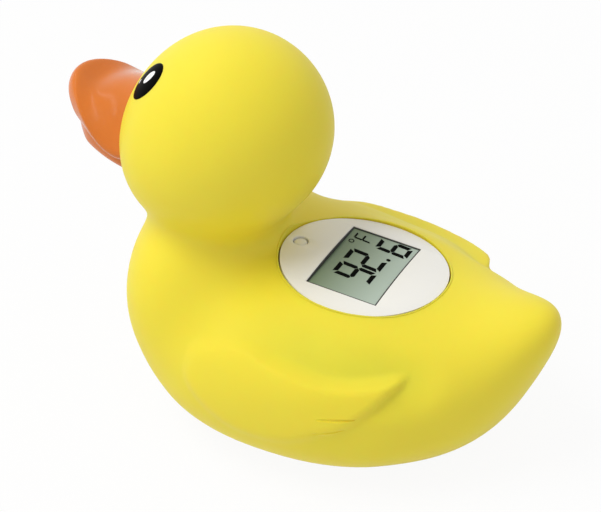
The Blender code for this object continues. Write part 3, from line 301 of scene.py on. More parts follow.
def mottled(name, colour, roughness, spread=0.03, scale=60.0, bump=0.0, bump_scale=2500.0, metallic=0.0):
    """A plain surface whose colour drifts a little and whose grain is a fine bump."""
    made, shader, tree = shader_of(name)
    place = tree.nodes.new("ShaderNodeTexCoord")
    noise = tree.nodes.new("ShaderNodeTexNoise")
    noise.inputs["Scale"].default_value = scale
    noise.inputs["Detail"].default_value = 3.0
    ramp = tree.nodes.new("ShaderNodeValToRGB")
    ramp.color_ramp.elements[0].position = 0.3
    ramp.color_ramp.elements[1].position = 0.7
    ramp.color_ramp.elements[0].color = (*[c * (1.0 - spread) for c in colour], 1.0)
    ramp.color_ramp.elements[1].color = (*[min(1.0, c * (1.0 + spread)) for c in colour], 1.0)
    tree.links.new(place.outputs["Object"], noise.inputs["Vector"])
    tree.links.new(noise.outputs["Fac"], ramp.inputs["Fac"])
    tree.links.new(ramp.outputs["Color"], shader.inputs["Base Color"])
    shader.inputs["Roughness"].default_value = roughness
    shader.inputs["Metallic"].default_value = metallic
    if bump:
        grain = tree.nodes.new("ShaderNodeTexNoise")
        grain.inputs["Scale"].default_value = bump_scale
        grain.inputs["Detail"].default_value = 2.0
        lift = tree.nodes.new("ShaderNodeBump")
        lift.inputs["Strength"].default_value = bump
        lift.inputs["Distance"].default_value = 0.05 * MM
        tree.links.new(place.outputs["Object"], grain.inputs["Vector"])
        tree.links.new(grain.outputs["Fac"], lift.inputs["Height"])
        tree.links.new(lift.outputs["Normal"], shader.inputs["Normal"])
    return made


def soften(look, weight, radius, scale):
    """Let light spread below the surface, as in soft vinyl."""
    shader = look.node_tree.nodes["Principled BSDF"]
    shader.inputs["Subsurface Weight"].default_value = weight
    shader.inputs["Subsurface Radius"].default_value = radius
    shader.inputs["Subsurface Scale"].default_value = scale
    return look


def dull(look, level):
    """Set how much of the surroundings a surface mirrors."""
    look.node_tree.nodes["Principled BSDF"].inputs["Specular IOR Level"].default_value = level
    return look


def screen_painted_shade_look():
    """Grey-green liquid crystal glass with painted shade: darker and greener towards the head, where the
    head's shade falls.
    """
    made, shader, tree = shader_of("screen_glass_painted_shade_look")
    place = tree.nodes.new("ShaderNodeTexCoord")
    split = tree.nodes.new("ShaderNodeSeparateXYZ")
    span = tree.nodes.new("ShaderNodeMapRange")
    span.inputs["From Min"].default_value = PLATE_CENTRE[1] - SCREEN_HEIGHT / 2
    span.inputs["From Max"].default_value = PLATE_CENTRE[1] + SCREEN_HEIGHT / 2
    ramp = tree.nodes.new("ShaderNodeValToRGB")
    # Painted shade: the head end of the glass is darker and greener, standing in for the head's shade
    ramp.color_ramp.elements[0].color = (0.165, 0.235, 0.140, 1.0)
    ramp.color_ramp.elements[1].color = (0.460, 0.560, 0.500, 1.0)
    tree.links.new(place.outputs["Object"], split.inputs["Vector"])
    tree.links.new(split.outputs["Y"], span.inputs["Value"])
    tree.links.new(span.outputs["Result"], ramp.inputs["Fac"])
    tree.links.new(ramp.outputs["Color"], shader.inputs["Base Color"])
    shader.inputs["Roughness"].default_value = 0.3
    return dull(made, 0.3)


def make_looks():
    yellow = mottled("yellow_vinyl_look", (0.90, 0.740, 0.048), 0.5, spread=0.012, scale=40.0, bump=0.12)
    orange = mottled("orange_vinyl_look", (0.66, 0.175, 0.02), 0.16, spread=0.05, scale=90.0, bump=0.02)
    return {
        "yellow_vinyl": dull(soften(yellow, 0.3, (1.0, 0.45, 0.08), 5.0 * MM), 0.35),
        "orange_vinyl": dull(soften(orange, 0.08, (1.0, 0.35, 0.08), 1.5 * MM), 0.25),
        "black_gloss": dull(mottled("black_gloss_look", (0.0025, 0.0025, 0.002), 0.3, spread=0.1), 0.01),
        "glint_white": mottled("glint_white_look", (0.93, 0.93, 0.93), 0.35, spread=0.01),
        "glint_grey": mottled("glint_grey_look", (0.78, 0.78, 0.76), 0.35, spread=0.01),
        "white_plastic": mottled("white_plastic_look", (0.86, 0.86, 0.84), 0.34, spread=0.01, bump=0.05),
        "lens_plastic": mottled("lens_plastic_look", (0.82, 0.82, 0.78), 0.3, spread=0.02),
        "screen_glass": screen_painted_shade_look(),
        "segment_black": dull(mottled("segment_black_look", (0.003, 0.0035, 0.003), 0.5, spread=0.1), 0.01),
        "grey_plastic": mottled("grey_plastic_look", (0.45, 0.45, 0.45), 0.5, bump=0.15),
        "strip_rubber": mottled("strip_rubber_look", (0.75, 0.35, 0.30), 0.6, spread=0.08, scale=800.0),
        "board_green": mottled("board_green_look", (0.03, 0.22, 0.08), 0.45, spread=0.15, scale=400.0),
        "black_resin": mottled("black_resin_look", (0.02, 0.02, 0.02), 0.5, spread=0.2, bump=0.2),
        "black_rubber": mottled("black_rubber_look", (0.03, 0.03, 0.03), 0.7, spread=0.2, bump=0.2),
        "steel": mottled("steel_look", (0.62, 0.62, 0.60), 0.28, spread=0.06, scale=900.0, metallic=1.0),
        "red_wire": mottled("red_wire_look", (0.55, 0.03, 0.02), 0.45, spread=0.05),
        "black_wire": mottled("black_wire_look", (0.02, 0.02, 0.02), 0.45, spread=0.1),
    }


# Duck form as a distance from its skin, negative inside

def smooth_min(first, second, reach):
    mix = np.maximum(reach - np.abs(first - second), 0.0) / reach
    return np.minimum(first, second) - mix * mix * reach * 0.25


def round_mass(points, centre, semi, power=2.0, lift=0.0):
    offset = points - np.array(centre)
    if lift:
        along = offset[:, 1] * math.cos(lift) + offset[:, 2] * math.sin(lift)
        across = offset[:, 2] * math.cos(lift) - offset[:, 1] * math.sin(lift)
        offset = np.stack([offset[:, 0], along, across], axis=1)
    ratio = np.abs(offset) / np.array(semi)
    reach = ((ratio ** power).sum(axis=1) + 1e-12) ** (1.0 / power)
    slope = np.linalg.norm(ratio ** (power - 1.0) / np.array(semi), axis=1) * reach ** (1.0 - power)
    return (reach - 1.0) / (slope + 1e-9)


def plain_form(points):
    """The duck without its wings."""
    head = round_mass(points, HEAD_CENTRE, (HEAD_RADIUS,) * 3)
    head = smooth_min(head, round_mass(points, CHEEK_CENTRE, CHEEK_SEMI), CHEEK_BLEND)
    body = round_mass(points, BODY_CENTRE, BODY_SEMI, BODY_SQUARENESS)
    body = smooth_min(body, round_mass(points, CHEST_CENTRE, CHEST_SEMI), CHEST_BLEND)
    tail = round_mass(points, TAIL_CENTRE, TAIL_SEMI, lift=TAIL_LIFT)
    body = smooth_min(body, tail, TAIL_BLEND)
    whole = smooth_min(body, head, NECK_BLEND)
    return -smooth_min(-whole, points[:, 2], BELLY_BLEND)


def curve_through(corners, steps):
    """Points on a smooth open curve through the corners."""
    knots = np.array(corners)
    knots = np.vstack([2 * knots[0] - knots[1], knots, 2 * knots[-1] - knots[-2]])
    path = []
    for index in range(1, len(knots) - 2):
        before, start, end, after = knots[index - 1:index + 3]
        for step in range(steps):
            t = step / steps
            path.append(0.5 * (2 * start + (end - before) * t
                               + (2 * before - 5 * start + 4 * end - after) * t ** 2
                               + (3 * start - before - 3 * end + after) * t ** 3))
    return np.array(path + [knots[-2]])


def distance_to(points, path):
    """Distance of each (y, z) point to an open line."""
    best = np.full(len(points), 1.0)
    for start, end in zip(path[:-1], path[1:]):
        run = end - start
        share = np.clip(((points - start) @ run) / (run @ run), 0.0, 1.0)
        best = np.minimum(best, np.linalg.norm(points - start - share[:, None] * run, axis=1))
    return best


def inside(points, outline):
    """Whether each (y, z) point lies inside a closed outline."""
    odd = np.zeros(len(points), dtype=bool)
    for start, end in zip(outline, np.roll(outline, -1, axis=0)):
        if start[1] == end[1]:
            continue
        level = start[0] + (end[0] - start[0]) * (points[:, 1] - start[1]) / (end[1] - start[1])
        odd ^= ((start[1] > points[:, 1]) != (end[1] > points[:, 1])) & (level > points[:, 0])
    return odd


def ease(value):
    value = np.clip(value, 0.0, 1.0)
    return value * value * (3.0 - 2.0 * value)


UPPER_PATH = curve_through(WING_UPPER, 5)
REAR_PATH = curve_through(WING_REAR, 5)
FRONT_PATH = curve_through(WING_FRONT, 5)
WING_PATH = np.vstack([UPPER_PATH[:-1], REAR_PATH[:-1], FRONT_PATH[:-1]])


def wing_height(points):
    """How far the wing stands out of the flank at each point, less the groove along its edges."""
    flat = points[:, 1:]
    upper = distance_to(flat, UPPER_PATH)
    rear = distance_to(flat, REAR_PATH)
    front = distance_to(flat, FRONT_PATH)
    within = inside(flat, WING_PATH)
    along = ease((flat[:, 0] - GROOVE_START_Y) / GROOVE_RISE)
    groove = GROOVE_DEPTH * along * np.exp(-(upper / GROOVE_REACH) ** 2)
    groove = np.maximum(groove, REAR_GROOVE_DEPTH * np.exp(-(rear / REAR_GROOVE_REACH) ** 2))
    start = ease((flat[:, 0] - EDGE_TURN_Y) / EDGE_TURN_LENGTH)
    upper_edge = WING_FRONT_EDGE + (WING_EDGE - WING_FRONT_EDGE) * start
    step = ease(upper / upper_edge) * ease(rear / WING_REAR_EDGE) * ease(front / WING_FRONT_EDGE)
    middle = ease(np.minimum(np.minimum(upper, rear), front) / HOLLOW_REACH)
    plateau = WING_RELIEF - WING_HOLLOW * middle
    height = np.where(within, step * (plateau + groove), 0.0) - groove
    outward = ease((np.abs(points[:, 0]) - WING_INNER_X) / WING_FADE)
    forward = ease((WING_END_Y - flat[:, 0]) / WING_FADE)
    return height * (outward * forward)


def duck_form(points):
    value = plain_form(points)
    near = np.abs(value) < RELIEF_BAND
    value[near] -= wing_height(points[near])
    return value


def settle(bm, form, offset=0.0, rounds=6):
    """Move a mesh's vertices along the form's slope until they lie on it."""
    points = np.array([vert.co for vert in bm.verts])
    for _ in range(rounds):
        value = form(points) - offset
        slope = np.stack([(form(points + PROBE * axis) - form(points - PROBE * axis)) / (2 * PROBE)
                          for axis in np.eye(3)], axis=1)
        points = points - slope * (value / np.maximum((slope * slope).sum(axis=1), 0.05))[:, None]
    for vert, point in zip(bm.verts, points):
        vert.co = point


def relax(bm, rounds):
    for _ in range(rounds):
        bmesh.ops.smooth_vert(bm, verts=bm.verts, factor=0.5, use_axis_x=True, use_axis_y=True,
                              use_axis_z=True)


def ball(bm, centre, semi, lift=0.0):
    made = bmesh.ops.create_uvsphere(bm, u_segments=96, v_segments=48, radius=1.0)
    place = Matrix.Translation(centre) @ Matrix.Rotation(lift, 4, "X") @ Matrix.Diagonal((*semi, 1.0))
    bmesh.ops.transform(bm, matrix=place, verts=made["verts"])


def even_faces(bm, name, spacing):
    """The same surface meshed again with faces of one size."""
    rough = mesh_object(name, bm)
    remesh = rough.modifiers.new("Even faces", "REMESH")
    remesh.mode = "VOXEL"
    remesh.voxel_size = spacing
    evaluated(rough)
    bm = bmesh.new()
    bm.from_mesh(rough.data)
    bpy.data.objects.remove(rough, do_unlink=True)
    return bm


def form_mesh(name, spacing, form, offset=0.0):
    """An even mesh of the duck's form: round masses joined, then settled on it coarsely and finely."""
    bm = bmesh.new()
    ball(bm, BODY_CENTRE, BODY_SEMI)
    ball(bm, CHEST_CENTRE, CHEST_SEMI)
    ball(bm, TAIL_CENTRE, TAIL_SEMI, TAIL_LIFT)
    ball(bm, HEAD_CENTRE, (HEAD_RADIUS,) * 3)
    ball(bm, CHEEK_CENTRE, CHEEK_SEMI)
    bm = even_faces(bm, name, COARSE_MESH)
    relax(bm, RELAX_ROUNDS)
    settle(bm, plain_form, offset)
    bm = even_faces(bm, name, spacing)
    for _ in range(FINE_ROUNDS):
        relax(bm, 1)
        settle(bm, form, offset, rounds=2)
    return mesh_object(name, bm)


DISPLAY = Matrix.Translation(PLATE_CENTRE) @ Matrix.Rotation(-PLATE_LEAN, 4, "X")


def flank_x(y, z):
    """How far out the wing's skin lies at (y, z)."""
    reach = np.linspace(20.0, 40.0, 801) * MM
    points = np.stack([reach, np.full_like(reach, y), np.full_like(reach, z)], axis=1)
    return float(reach[int(np.argmax(duck_form(points) > 0.0))])


def feather_cutter(line, side):
    """A slim boat-shaped cutter that leaves a short feather notch in the wing."""
    start, end = [Vector((side * flank_x(y, z), y, z)) for y, z in line]
    middle_y = (line[0][0] + line[1][0]) / 2
    middle_z = (line[0][1] + line[1][1]) / 2
    middle = Vector((side * flank_x(middle_y, middle_z), middle_y, middle_z))
    along = (end - start).normalized()
    outward = Vector((side, 0.0, 0.0))
    outward = (outward - along * outward.dot(along)).normalized()
    turn = Matrix((along, outward.cross(along), outward)).transposed().to_4x4()
    bm = bmesh.new()
    bmesh.ops.create_uvsphere(bm, u_segments=40, v_segments=16, radius=1.0)
    bend = (start + end) / 2 - middle
    half_length = (end - start).length / 2
    for vert in bm.verts:
        local = Vector((vert.co.x * half_length, vert.co.y * FEATHER_WIDTH, vert.co.z * FEATHER_DEPTH))
        vert.co = turn @ local + middle + bend * vert.co.x ** 2
    return mesh_object("feather_cutter", bm)


def make_skin(looks):
    skin = form_mesh("duck_skin", FINE_MESH, duck_form)
    cavity = form_mesh("cavity", CAVITY_MESH, plain_form, -SKIN_WALL)
    hole_x = PLATE_SEMI_X + CLEARANCE
    hole_y = PLATE_SEMI_Y + CLEARANCE
    boolean(cavity, oval("lip", hole_x + LIP_WALL, hole_y + LIP_WALL, -LIP_DEPTH, HOLE_HEADROOM,
                         matrix=DISPLAY))
    belly = (0.0, COVER_CENTRE_Y)
    rim = COVER_RADIUS + CLEARANCE + LIP_WALL
    boolean(cavity, oval("belly_rim", rim, rim, -SKIN_WALL, BELLY_WALL, belly))
    boolean(skin, cavity)
    boolean(skin, oval("back_hole", hole_x, hole_y, -2 * LIP_DEPTH, HOLE_HEADROOM, matrix=DISPLAY,
                       segments=160))
    recess = COVER_RADIUS + CLEARANCE
    boolean(skin, oval("cover_recess", recess, recess, -SKIN_WALL, COVER_RECESS, belly))
    cup = CUP_RADIUS + CLEARANCE
    boolean(skin, oval("cup_hole", cup, cup, -SKIN_WALL, 2 * BELLY_WALL, belly))
    for line in FEATHER_LINES:
        for side in (-1, 1):
            boolean(skin, feather_cutter(line, side))
    return dress(smooth(skin, 50.0), looks["yellow_vinyl"], "yellow_vinyl", "duck_body")


def skin_height(x, y):
    """Height above the plate's face, in the display frame, where the skin lies over (x, y)."""
    heights = np.linspace(-4.0, 4.0, 161) * MM
    points = np.array([DISPLAY @ Vector((x, y, float(height))) for height in heights])
    outside = plain_form(points) > 0.0
    return float(heights[int(np.argmax(outside))]) if outside.any() else float(heights[-1])


def make_rim(looks):
    """The small rounded bead of skin round the plate's hole."""
    steps = 120
    curve = bpy.data.curves.new("plate_rim", "CURVE")
    curve.dimensions = "3D"
    curve.bevel_depth = RIM_BEAD
    curve.bevel_resolution = 4
    spline = curve.splines.new("POLY")
    spline.points.add(steps - 1)
    spline.use_cyclic_u = True
    reach = CLEARANCE + RIM_BEAD
    for index, point in enumerate(spline.points):
        angle = 2.0 * math.pi * index / steps
        x = (PLATE_SEMI_X + reach) * math.cos(angle)
        y = (PLATE_SEMI_Y + reach) * math.sin(angle)
        height = min(skin_height(x, y) - 0.2 * RIM_BEAD, HOLE_HEADROOM)
        point.co = (*(DISPLAY @ Vector((x, y, height))), 1.0)
    return dress(link("plate_rim", curve), looks["yellow_vinyl"], "yellow_vinyl")


# Eyes

def eye_frame(side):
    """Place and turn of an eye on the head's skin: +Z out of the head, +Y along the eye's long way."""
    ray = Vector((side * math.sin(EYE_BEARING) * math.cos(EYE_HEIGHT),
                  -math.cos(EYE_BEARING) * math.cos(EYE_HEIGHT), math.sin(EYE_HEIGHT)))
    place = Vector(HEAD_CENTRE) + ray * HEAD_RADIUS
    for _ in range(12):
        place -= ray * float(plain_form(np.array([place]))[0])
    steps = np.eye(3) * PROBE
    outward = Vector(plain_form(np.array(place) + steps) - plain_form(np.array(place) - steps)).normalized()
    sideways = Vector((0.0, 0.0, 1.0)).cross(outward).normalized()
    upward = outward.cross(sideways)
    turn = Matrix((sideways, upward, outward)).transposed().to_4x4()
    return Matrix.Translation(place) @ turn @ Matrix.Rotation(side * EYE_ROLL, 4, "Z")


def lens(name, side, centre, semi, tilt, proud, rise):
    """A thin closed dome that follows the head's skin, oval in plan, its middle level proud of the skin."""
    bm = bmesh.new()
    bmesh.ops.create_uvsphere(bm, u_segments=72, v_segments=24, radius=1.0)
    frame_at = np.array(eye_frame(side))
    turn = Matrix.Rotation(side * tilt, 2)
    local = []
    for vert in bm.verts:
        flat = turn @ Vector((vert.co.x * semi[0], vert.co.y * semi[1]))
        local.append((side * centre[0] + flat.x, centre[1] + flat.y, 0.0))
    local = np.array(local)
    for _ in range(12):
        world = local @ frame_at[:3, :3].T + frame_at[:3, 3]
        local[:, 2] -= plain_form(world) - proud
    local[:, 2] += rise * np.array([vert.co.z for vert in bm.verts])
    world = local @ frame_at[:3, :3].T + frame_at[:3, 3]
    for vert, point in zip(bm.verts, world):
        vert.co = point
    return smooth(mesh_object(name, bm))


def make_eyes(looks):
    for side, name in ((-1, "right"), (1, "left")):
        pupil = lens("eye_dome_" + name, side, (0.0, 0.0), (EYE_SEMI_SHORT, EYE_SEMI_LONG), 0.0, 0.0,
                     EYE_PROUD)
        dress(pupil, looks["black_gloss"], "black_gloss", "eye_" + name)
        white = lens("eye_glint_" + name, side, GLINT_CENTRE, GLINT_SEMI, GLINT_TILT, GLINT_PROUD,
                     GLINT_RISE)
        dress(white, looks["glint_white"], "white_plastic")
        core = lens("eye_glint_core_" + name, side, GLINT_CENTRE, GLINT_CORE_SEMI, GLINT_TILT,
                    GLINT_PROUD, CORE_RISE)
        dress(core, looks["glint_grey"], "white_plastic")
        small = lens("eye_spark_" + name, side, SPARK_CENTRE, SPARK_SEMI, SPARK_TILT, SPARK_PROUD,
                     SPARK_RISE)
        dress(small, looks["glint_white"], "white_plastic")


# Beak

def half_oval_grid(half_width, length, across, along):
    """Rows of (x, y) over a half oval in plan, from inside the head to the round front."""
    shares = [2.0 * column / across - 1.0 for column in range(across + 1)]
    rows = [[(half_width * u, BEAK_BACK_Y) for u in shares]]
    for row in range(along + 1):
        v = row / along
        rows.append([(half_width * u * math.sqrt(1.0 - v * v / 2),
                      BEAK_ROOT_Y - length * v * math.sqrt(1.0 - u * u / 2)) for u in shares])
    return rows


def along_bill(curve, t):
    return curve[0] + curve[1] * t + curve[2] * t * t


def upper_bill_z(x, y):
    t = (BEAK_ROOT_Y - y) / UPPER_LENGTH
    dish = DISH_DEPTH * math.exp(-(x / DISH_HALF_WIDTH) ** 2 - ((t - DISH_PLACE) / DISH_LENGTH) ** 2)
    return along_bill(UPPER_RIDGE, t) - along_bill(UPPER_DROOP, t) * (x / UPPER_HALF_WIDTH) ** 2 - dish


def lower_bill_z(x, y):
    t = (BEAK_ROOT_Y - y) / LOWER_LENGTH
    return along_bill(LOWER_KEEL, t) + LOWER_CURL * (x / LOWER_HALF_WIDTH) ** 2


def sheet_of(bm, grid, height):
    rows = [[bm.verts.new((x, y, height(x, y))) for x, y in line] for line in grid]
    for row, ahead in zip(rows, rows[1:]):
        for column in range(len(row) - 1):
            bm.faces.new((row[column], row[column + 1], ahead[column + 1], ahead[column]))
    return rows


def ring_of(sheet):
    """The border of a grid of vertices, in order."""
    rows = len(sheet)
    ring = list(sheet[0])
    ring += [sheet[row][-1] for row in range(1, rows)]
    ring += list(reversed(sheet[-1][:-1]))
    ring += [sheet[row][0] for row in range(rows - 2, 0, -1)]
    return ring


def rounded(item):
    rounding = item.modifiers.new("Rounding", "SUBSURF")
    rounding.levels = 3
    rounding.render_levels = 3
    return smooth(evaluated(item))


def make_beak(looks):
    bm = bmesh.new()
    sheet_of(bm, half_oval_grid(UPPER_HALF_WIDTH, UPPER_LENGTH, 12, 8), upper_bill_z)
    upper = mesh_object("bill_upper", bm)
    shell = upper.modifiers.new("Thickness", "SOLIDIFY")
    shell.thickness = UPPER_THICKNESS
    shell.offset = 0.0
    dress(rounded(upper), looks["orange_vinyl"], "orange_vinyl", "beak")

    bm = bmesh.new()
    grid = half_oval_grid(LOWER_HALF_WIDTH, LOWER_LENGTH, 10, 8)
    border = ring_of(sheet_of(bm, grid, lower_bill_z))
    cover = ring_of(sheet_of(bm, grid, lambda x, y: upper_bill_z(x, y) - UPPER_THICKNESS / 4))
    for index in range(len(border)):
        after = (index + 1) % len(border)
        bm.faces.new((border[index], border[after], cover[after], cover[index]))
    dress(rounded(mesh_object("bill_lower", bm)), looks["orange_vinyl"], "orange_vinyl")


# Display

def make_plate(looks):
    plate = oval("display_plate", PLATE_SEMI_X, PLATE_SEMI_Y, -PLATE_DEPTH, PLATE_CROWN, segments=160)
    boolean(plate, crown_cutter(0.0), "INTERSECT")
    half_w = SCREEN_WIDTH / 2
    half_h = SCREEN_HEIGHT / 2
    boolean(plate, box("aperture", (-half_w, -half_h, -2 * PLATE_DEPTH), (half_w, half_h, PLATE_DEPTH)))
    boolean(plate, oval("light_hole", LIGHT_RADIUS + CLEARANCE, LIGHT_RADIUS + CLEARANCE, -2 * PLATE_DEPTH,
                        PLATE_DEPTH, (0.0, -LIGHT_OFFSET), segments=48))
    edge = plate.modifiers.new("Edges", "BEVEL")
    edge.width = PLATE_EDGE
    edge.segments = 3
    edge.limit_method = "ANGLE"
    edge.angle_limit = math.radians(50.0)
    evaluated(plate)
    plate.data.transform(DISPLAY)
    return dress(smooth(plate, 35.0), looks["white_plastic"], "white_plastic", "face_plate")


def make_liner_with_painted_shade(looks):
    """The dark liner between the plate's opening and the glass: partly a dark frame round the glass, partly
    painted shade on the opening's walls.
    """
    half_w = SCREEN_WIDTH / 2 - LINER_GAP
    half_h = SCREEN_HEIGHT / 2 - LINER_GAP
    # The liner's black walls stand partly for the shade that falls inside the opening
    liner = box("liner_painted_wall_shade", (-half_w, -half_h, LCD_FACE - LINER_DEPTH), (half_w, half_h, PLATE_DEPTH))
    half_w -= LINER_WIDTH
    half_h -= LINER_WIDTH
    boolean(liner, box("glass_room", (-half_w, -half_h, -2 * PLATE_DEPTH),
                       (half_w, half_h, 2 * PLATE_DEPTH)))
    boolean(liner, crown_cutter(-LINER_DROP), "INTERSECT")
    liner.data.transform(DISPLAY)
    return dress(smooth(liner, 35.0), looks["black_rubber"], "black_rubber")


def crown_cutter(shift):
    """A cylinder whose top is the plate's crowned face, moved up or down."""
    radius = PLATE_SEMI_X ** 2 / (2 * PLATE_CROWN)
    along = Matrix.Translation((0.0, 0.0, shift - radius)) @ Matrix.Rotation(math.radians(90.0), 4, "X")
    return oval("crown", radius, radius, -2 * PLATE_SEMI_Y, 2 * PLATE_SEMI_Y, matrix=along, segments=900)


def flat_prism(bm, outline, low, high):
    """A thin prism over a closed outline of (x, y)."""
    base = [bm.verts.new((x, y, low)) for x, y in outline]
    top = [bm.verts.new((x, y, high)) for x, y in outline]
    bm.faces.new(base)
    bm.faces.new(top)
    count = len(outline)
    for index in range(count):
        after = (index + 1) % count
        bm.faces.new((base[index], base[after], top[after], top[index]))


def segment_outlines(width, height, stroke):
    """The seven bars of a digit, as outlines with x to the right and y down."""
    gap = DIGIT_GAP * stroke / DIGIT_STROKE
    notch = 0.45 * stroke
    middle = height / 2
    right = width - stroke - gap
    bar = [(notch + gap, 0.0), (width - notch - gap, 0.0), (right, stroke), (stroke + gap, stroke)]
    post = [(0.0, notch + gap), (stroke, stroke + gap), (stroke, middle - stroke / 2 - gap),
            (stroke / 2, middle - gap), (0.0, middle - notch)]
    centre = [(stroke / 2 + gap, middle), (stroke + gap, middle - stroke / 2),
              (right, middle - stroke / 2), (width - stroke / 2 - gap, middle),
              (right, middle + stroke / 2), (stroke + gap, middle + stroke / 2)]
    return {
        "top": bar,
        "bottom": [(x, height - y) for x, y in bar],
        "upper_left": post,
        "upper_right": [(width - x, y) for x, y in post],
        "lower_left": [(x, height - y) for x, y in post],
        "lower_right": [(width - x, height - y) for x, y in post],
        "middle": centre,
    }


LIT = {
    "9": ("top", "upper_left", "upper_right", "middle", "lower_right", "bottom"),
    "2": ("top", "upper_right", "middle", "lower_left", "bottom"),
    "6": ("top", "upper_left", "middle", "lower_left", "lower_right", "bottom"),
    "F": ("top", "upper_left", "middle", "lower_left"),
}


def make_segments(looks):
    """The lit segments, as thin shapes on the glass, placed across and down as they are read."""
    bm = bmesh.new()
    low = LCD_FACE - 0.01 * MM
    high = LCD_FACE + SEGMENT_THICKNESS
    parallax = SIGHT_SLOPE * -LCD_FACE

    def place(x, y, base):
        across = x + DIGIT_SLANT * (base - y) + parallax.x
        return SCREEN_WIDTH / 2 - across, -SCREEN_HEIGHT / 2 + y + parallax.y

    for character, left, top, width, height, weight in CHARACTERS:
        shapes = segment_outlines(width * MM, height * MM, DIGIT_STROKE * weight)
        base = (top + height) * MM
        for name in LIT[character]:
            outline = [place(left * MM + x, top * MM + y, base) for x, y in shapes[name]]
            flat_prism(bm, outline, low, high)
    dot = [place(POINT_CENTRE[0] + POINT_SEMI[0] * math.cos(angle),
                 POINT_CENTRE[1] + POINT_SEMI[1] * math.sin(angle), POINT_CENTRE[1])
           for angle in (index * math.pi / 6 for index in range(12))]
    flat_prism(bm, dot, low, high)
    made = mesh_object("lit_segments", bm)
    degree_ring(made, place, low, high)
    made.data.transform(DISPLAY)
    return dress(made, looks["segment_black"], "black_gloss")


def degree_ring(made, place, low, high):
    """Add the small ring of the degree sign to the segments."""
    bm = bmesh.new()
    bm.from_mesh(made.data)
    count = 24
    angles = [index * 2 * math.pi / count for index in range(count)]
    rings = []
    for reach in DEGREE_REACHES:
        outline = [place(DEGREE_CENTRE[0] + reach * math.cos(angle),
                         DEGREE_CENTRE[1] + DEGREE_STRETCH * reach * math.sin(angle), DEGREE_CENTRE[1])
                   for angle in angles]
        for level in (low, high):
            rings.append([bm.verts.new((*point, level)) for point in outline])
    outer_low, outer_high, inner_low, inner_high = rings
    for index in range(count):
        after = (index + 1) % count
        for first, second in ((outer_low, outer_high), (outer_high, inner_high), (inner_high, inner_low),
                              (inner_low, outer_low)):
            bm.faces.new((first[index], first[after], second[after], second[index]))
    bmesh.ops.recalc_face_normals(bm, faces=bm.faces)
    bm.to_mesh(made.data)
    bm.free()


# Carried-over pieces, camera, light and floor

def dress_nodes(looks):
    rows = {row["node"]: row["material_slot"] for row in frame["record"]["subparts"]}
    for name, node in NODES.items():
        look = looks[rows[name]]
        for slot in node.material_slots:
            slot.material = look


def make_camera():
    data = bpy.data.cameras.new("camera")
    data.sensor_width = SENSOR_WIDTH
    data.lens = CAMERA_FOCAL_PX / IMAGE_WIDTH * SENSOR_WIDTH
    data.shift_x = -(TARGET_PX[0] - IMAGE_WIDTH / 2) / IMAGE_WIDTH
    data.shift_y = (TARGET_PX[1] - IMAGE_HEIGHT / 2) / IMAGE_WIDTH
    data.clip_start = 0.01
    back = Vector((math.sin(CAMERA_AZIMUTH) * math.cos(CAMERA_ELEVATION),
                   -math.cos(CAMERA_AZIMUTH) * math.cos(CAMERA_ELEVATION), math.sin(CAMERA_ELEVATION)))
    camera = bpy.data.objects.new("camera", data)
    camera.location = CAMERA_TARGET + back * CAMERA_DISTANCE
    camera.rotation_euler = back.to_track_quat("Z", "Y").to_euler()
    bpy.context.scene.collection.objects.link(camera)
    bpy.context.scene.camera = camera


def make_lamp(name, place, size, power):
    data = bpy.data.lights.new(name, "AREA")
    data.shape = "DISK"
    data.size = size
    data.energy = power
    lamp = bpy.data.objects.new(name, data)
    lamp.location = place
    lamp.rotation_euler = (Vector(place) - LAMP_AIM).to_track_quat("Z", "Y").to_euler()
    bpy.context.scene.collection.objects.link(lamp)
    return lamp


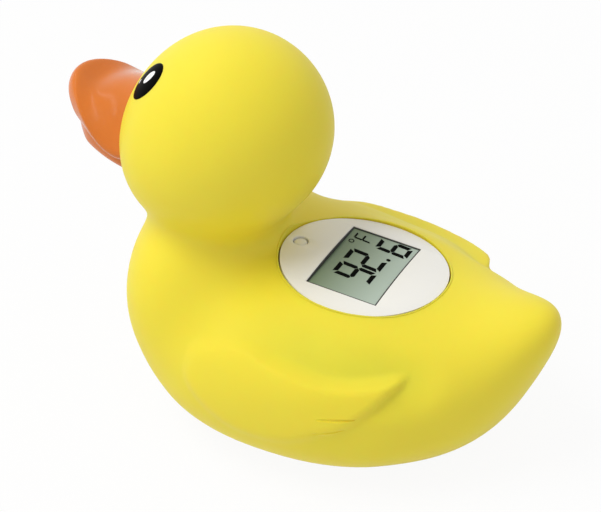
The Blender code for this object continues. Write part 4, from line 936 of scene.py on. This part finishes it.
def seen_as_white(tree, lit, share=1.0):
    """Mix white in where the camera, a reflection or clear plastic sees the surface."""
    path = tree.nodes.new("ShaderNodeLightPath")
    seen = path.outputs["Is Camera Ray"]
    for ray in ("Is Glossy Ray", "Is Transmission Ray"):
        either = tree.nodes.new("ShaderNodeMath")
        either.operation = "MAXIMUM"
        tree.links.new(seen, either.inputs[0])
        tree.links.new(path.outputs[ray], either.inputs[1])
        seen = either.outputs[0]
    scaled = tree.nodes.new("ShaderNodeMath")
    scaled.operation = "MULTIPLY"
    scaled.inputs[1].default_value = share
    tree.links.new(seen, scaled.inputs[0])
    behind = lit.bl_idname == "ShaderNodeBackground"
    white = tree.nodes.new("ShaderNodeBackground" if behind else "ShaderNodeEmission")
    white.inputs["Color"].default_value = WHITE
    white.inputs["Strength"].default_value = 1.0
    mix = tree.nodes.new("ShaderNodeMixShader")
    tree.links.new(scaled.outputs[0], mix.inputs["Fac"])
    tree.links.new(lit.outputs[0], mix.inputs[1])
    tree.links.new(white.outputs[0], mix.inputs[2])
    return mix


def make_world():
    world = bpy.data.worlds.new("studio")
    world.use_nodes = True
    bpy.context.scene.world = world
    tree = world.node_tree
    sky = tree.nodes["Background"]
    sky.inputs["Color"].default_value = SKY_COLOUR
    sky.inputs["Strength"].default_value = SKY_STRENGTH
    mix = seen_as_white(tree, sky)
    tree.links.new(mix.outputs[0], tree.nodes["World Output"].inputs["Surface"])


def make_floor():
    bm = bmesh.new()
    bmesh.ops.create_grid(bm, x_segments=1, y_segments=1, size=FLOOR_SIZE)
    floor = mesh_object("floor", bm)
    look, shader, tree = shader_of("floor_look")
    shader.inputs["Base Color"].default_value = FLOOR_COLOUR
    shader.inputs["Roughness"].default_value = 0.9
    mix = seen_as_white(tree, shader, FLOOR_WHITE_SHARE)
    tree.links.new(mix.outputs[0], tree.nodes["Material Output"].inputs["Surface"])
    floor.data.materials.append(look)


def make_lamps():
    key = make_lamp("key", KEY_PLACE, KEY_SIZE, KEY_POWER)
    key.visible_glossy = False
    for name, place, power in STRIPS:
        strip = make_lamp(name, place, STRIP_SIZE[0], power)
        strip.data.shape = "RECTANGLE"
        strip.data.size_y = STRIP_SIZE[1]


def main():
    looks = make_looks()
    dress_nodes(looks)
    make_camera()
    make_world()
    make_floor()
    make_lamps()
    bpy.context.scene.view_settings.view_transform = "Standard"
    make_skin(looks)
    make_rim(looks)
    make_eyes(looks)
    make_beak(looks)
    make_plate(looks)
    make_liner_with_painted_shade(looks)
    make_segments(looks)


main()
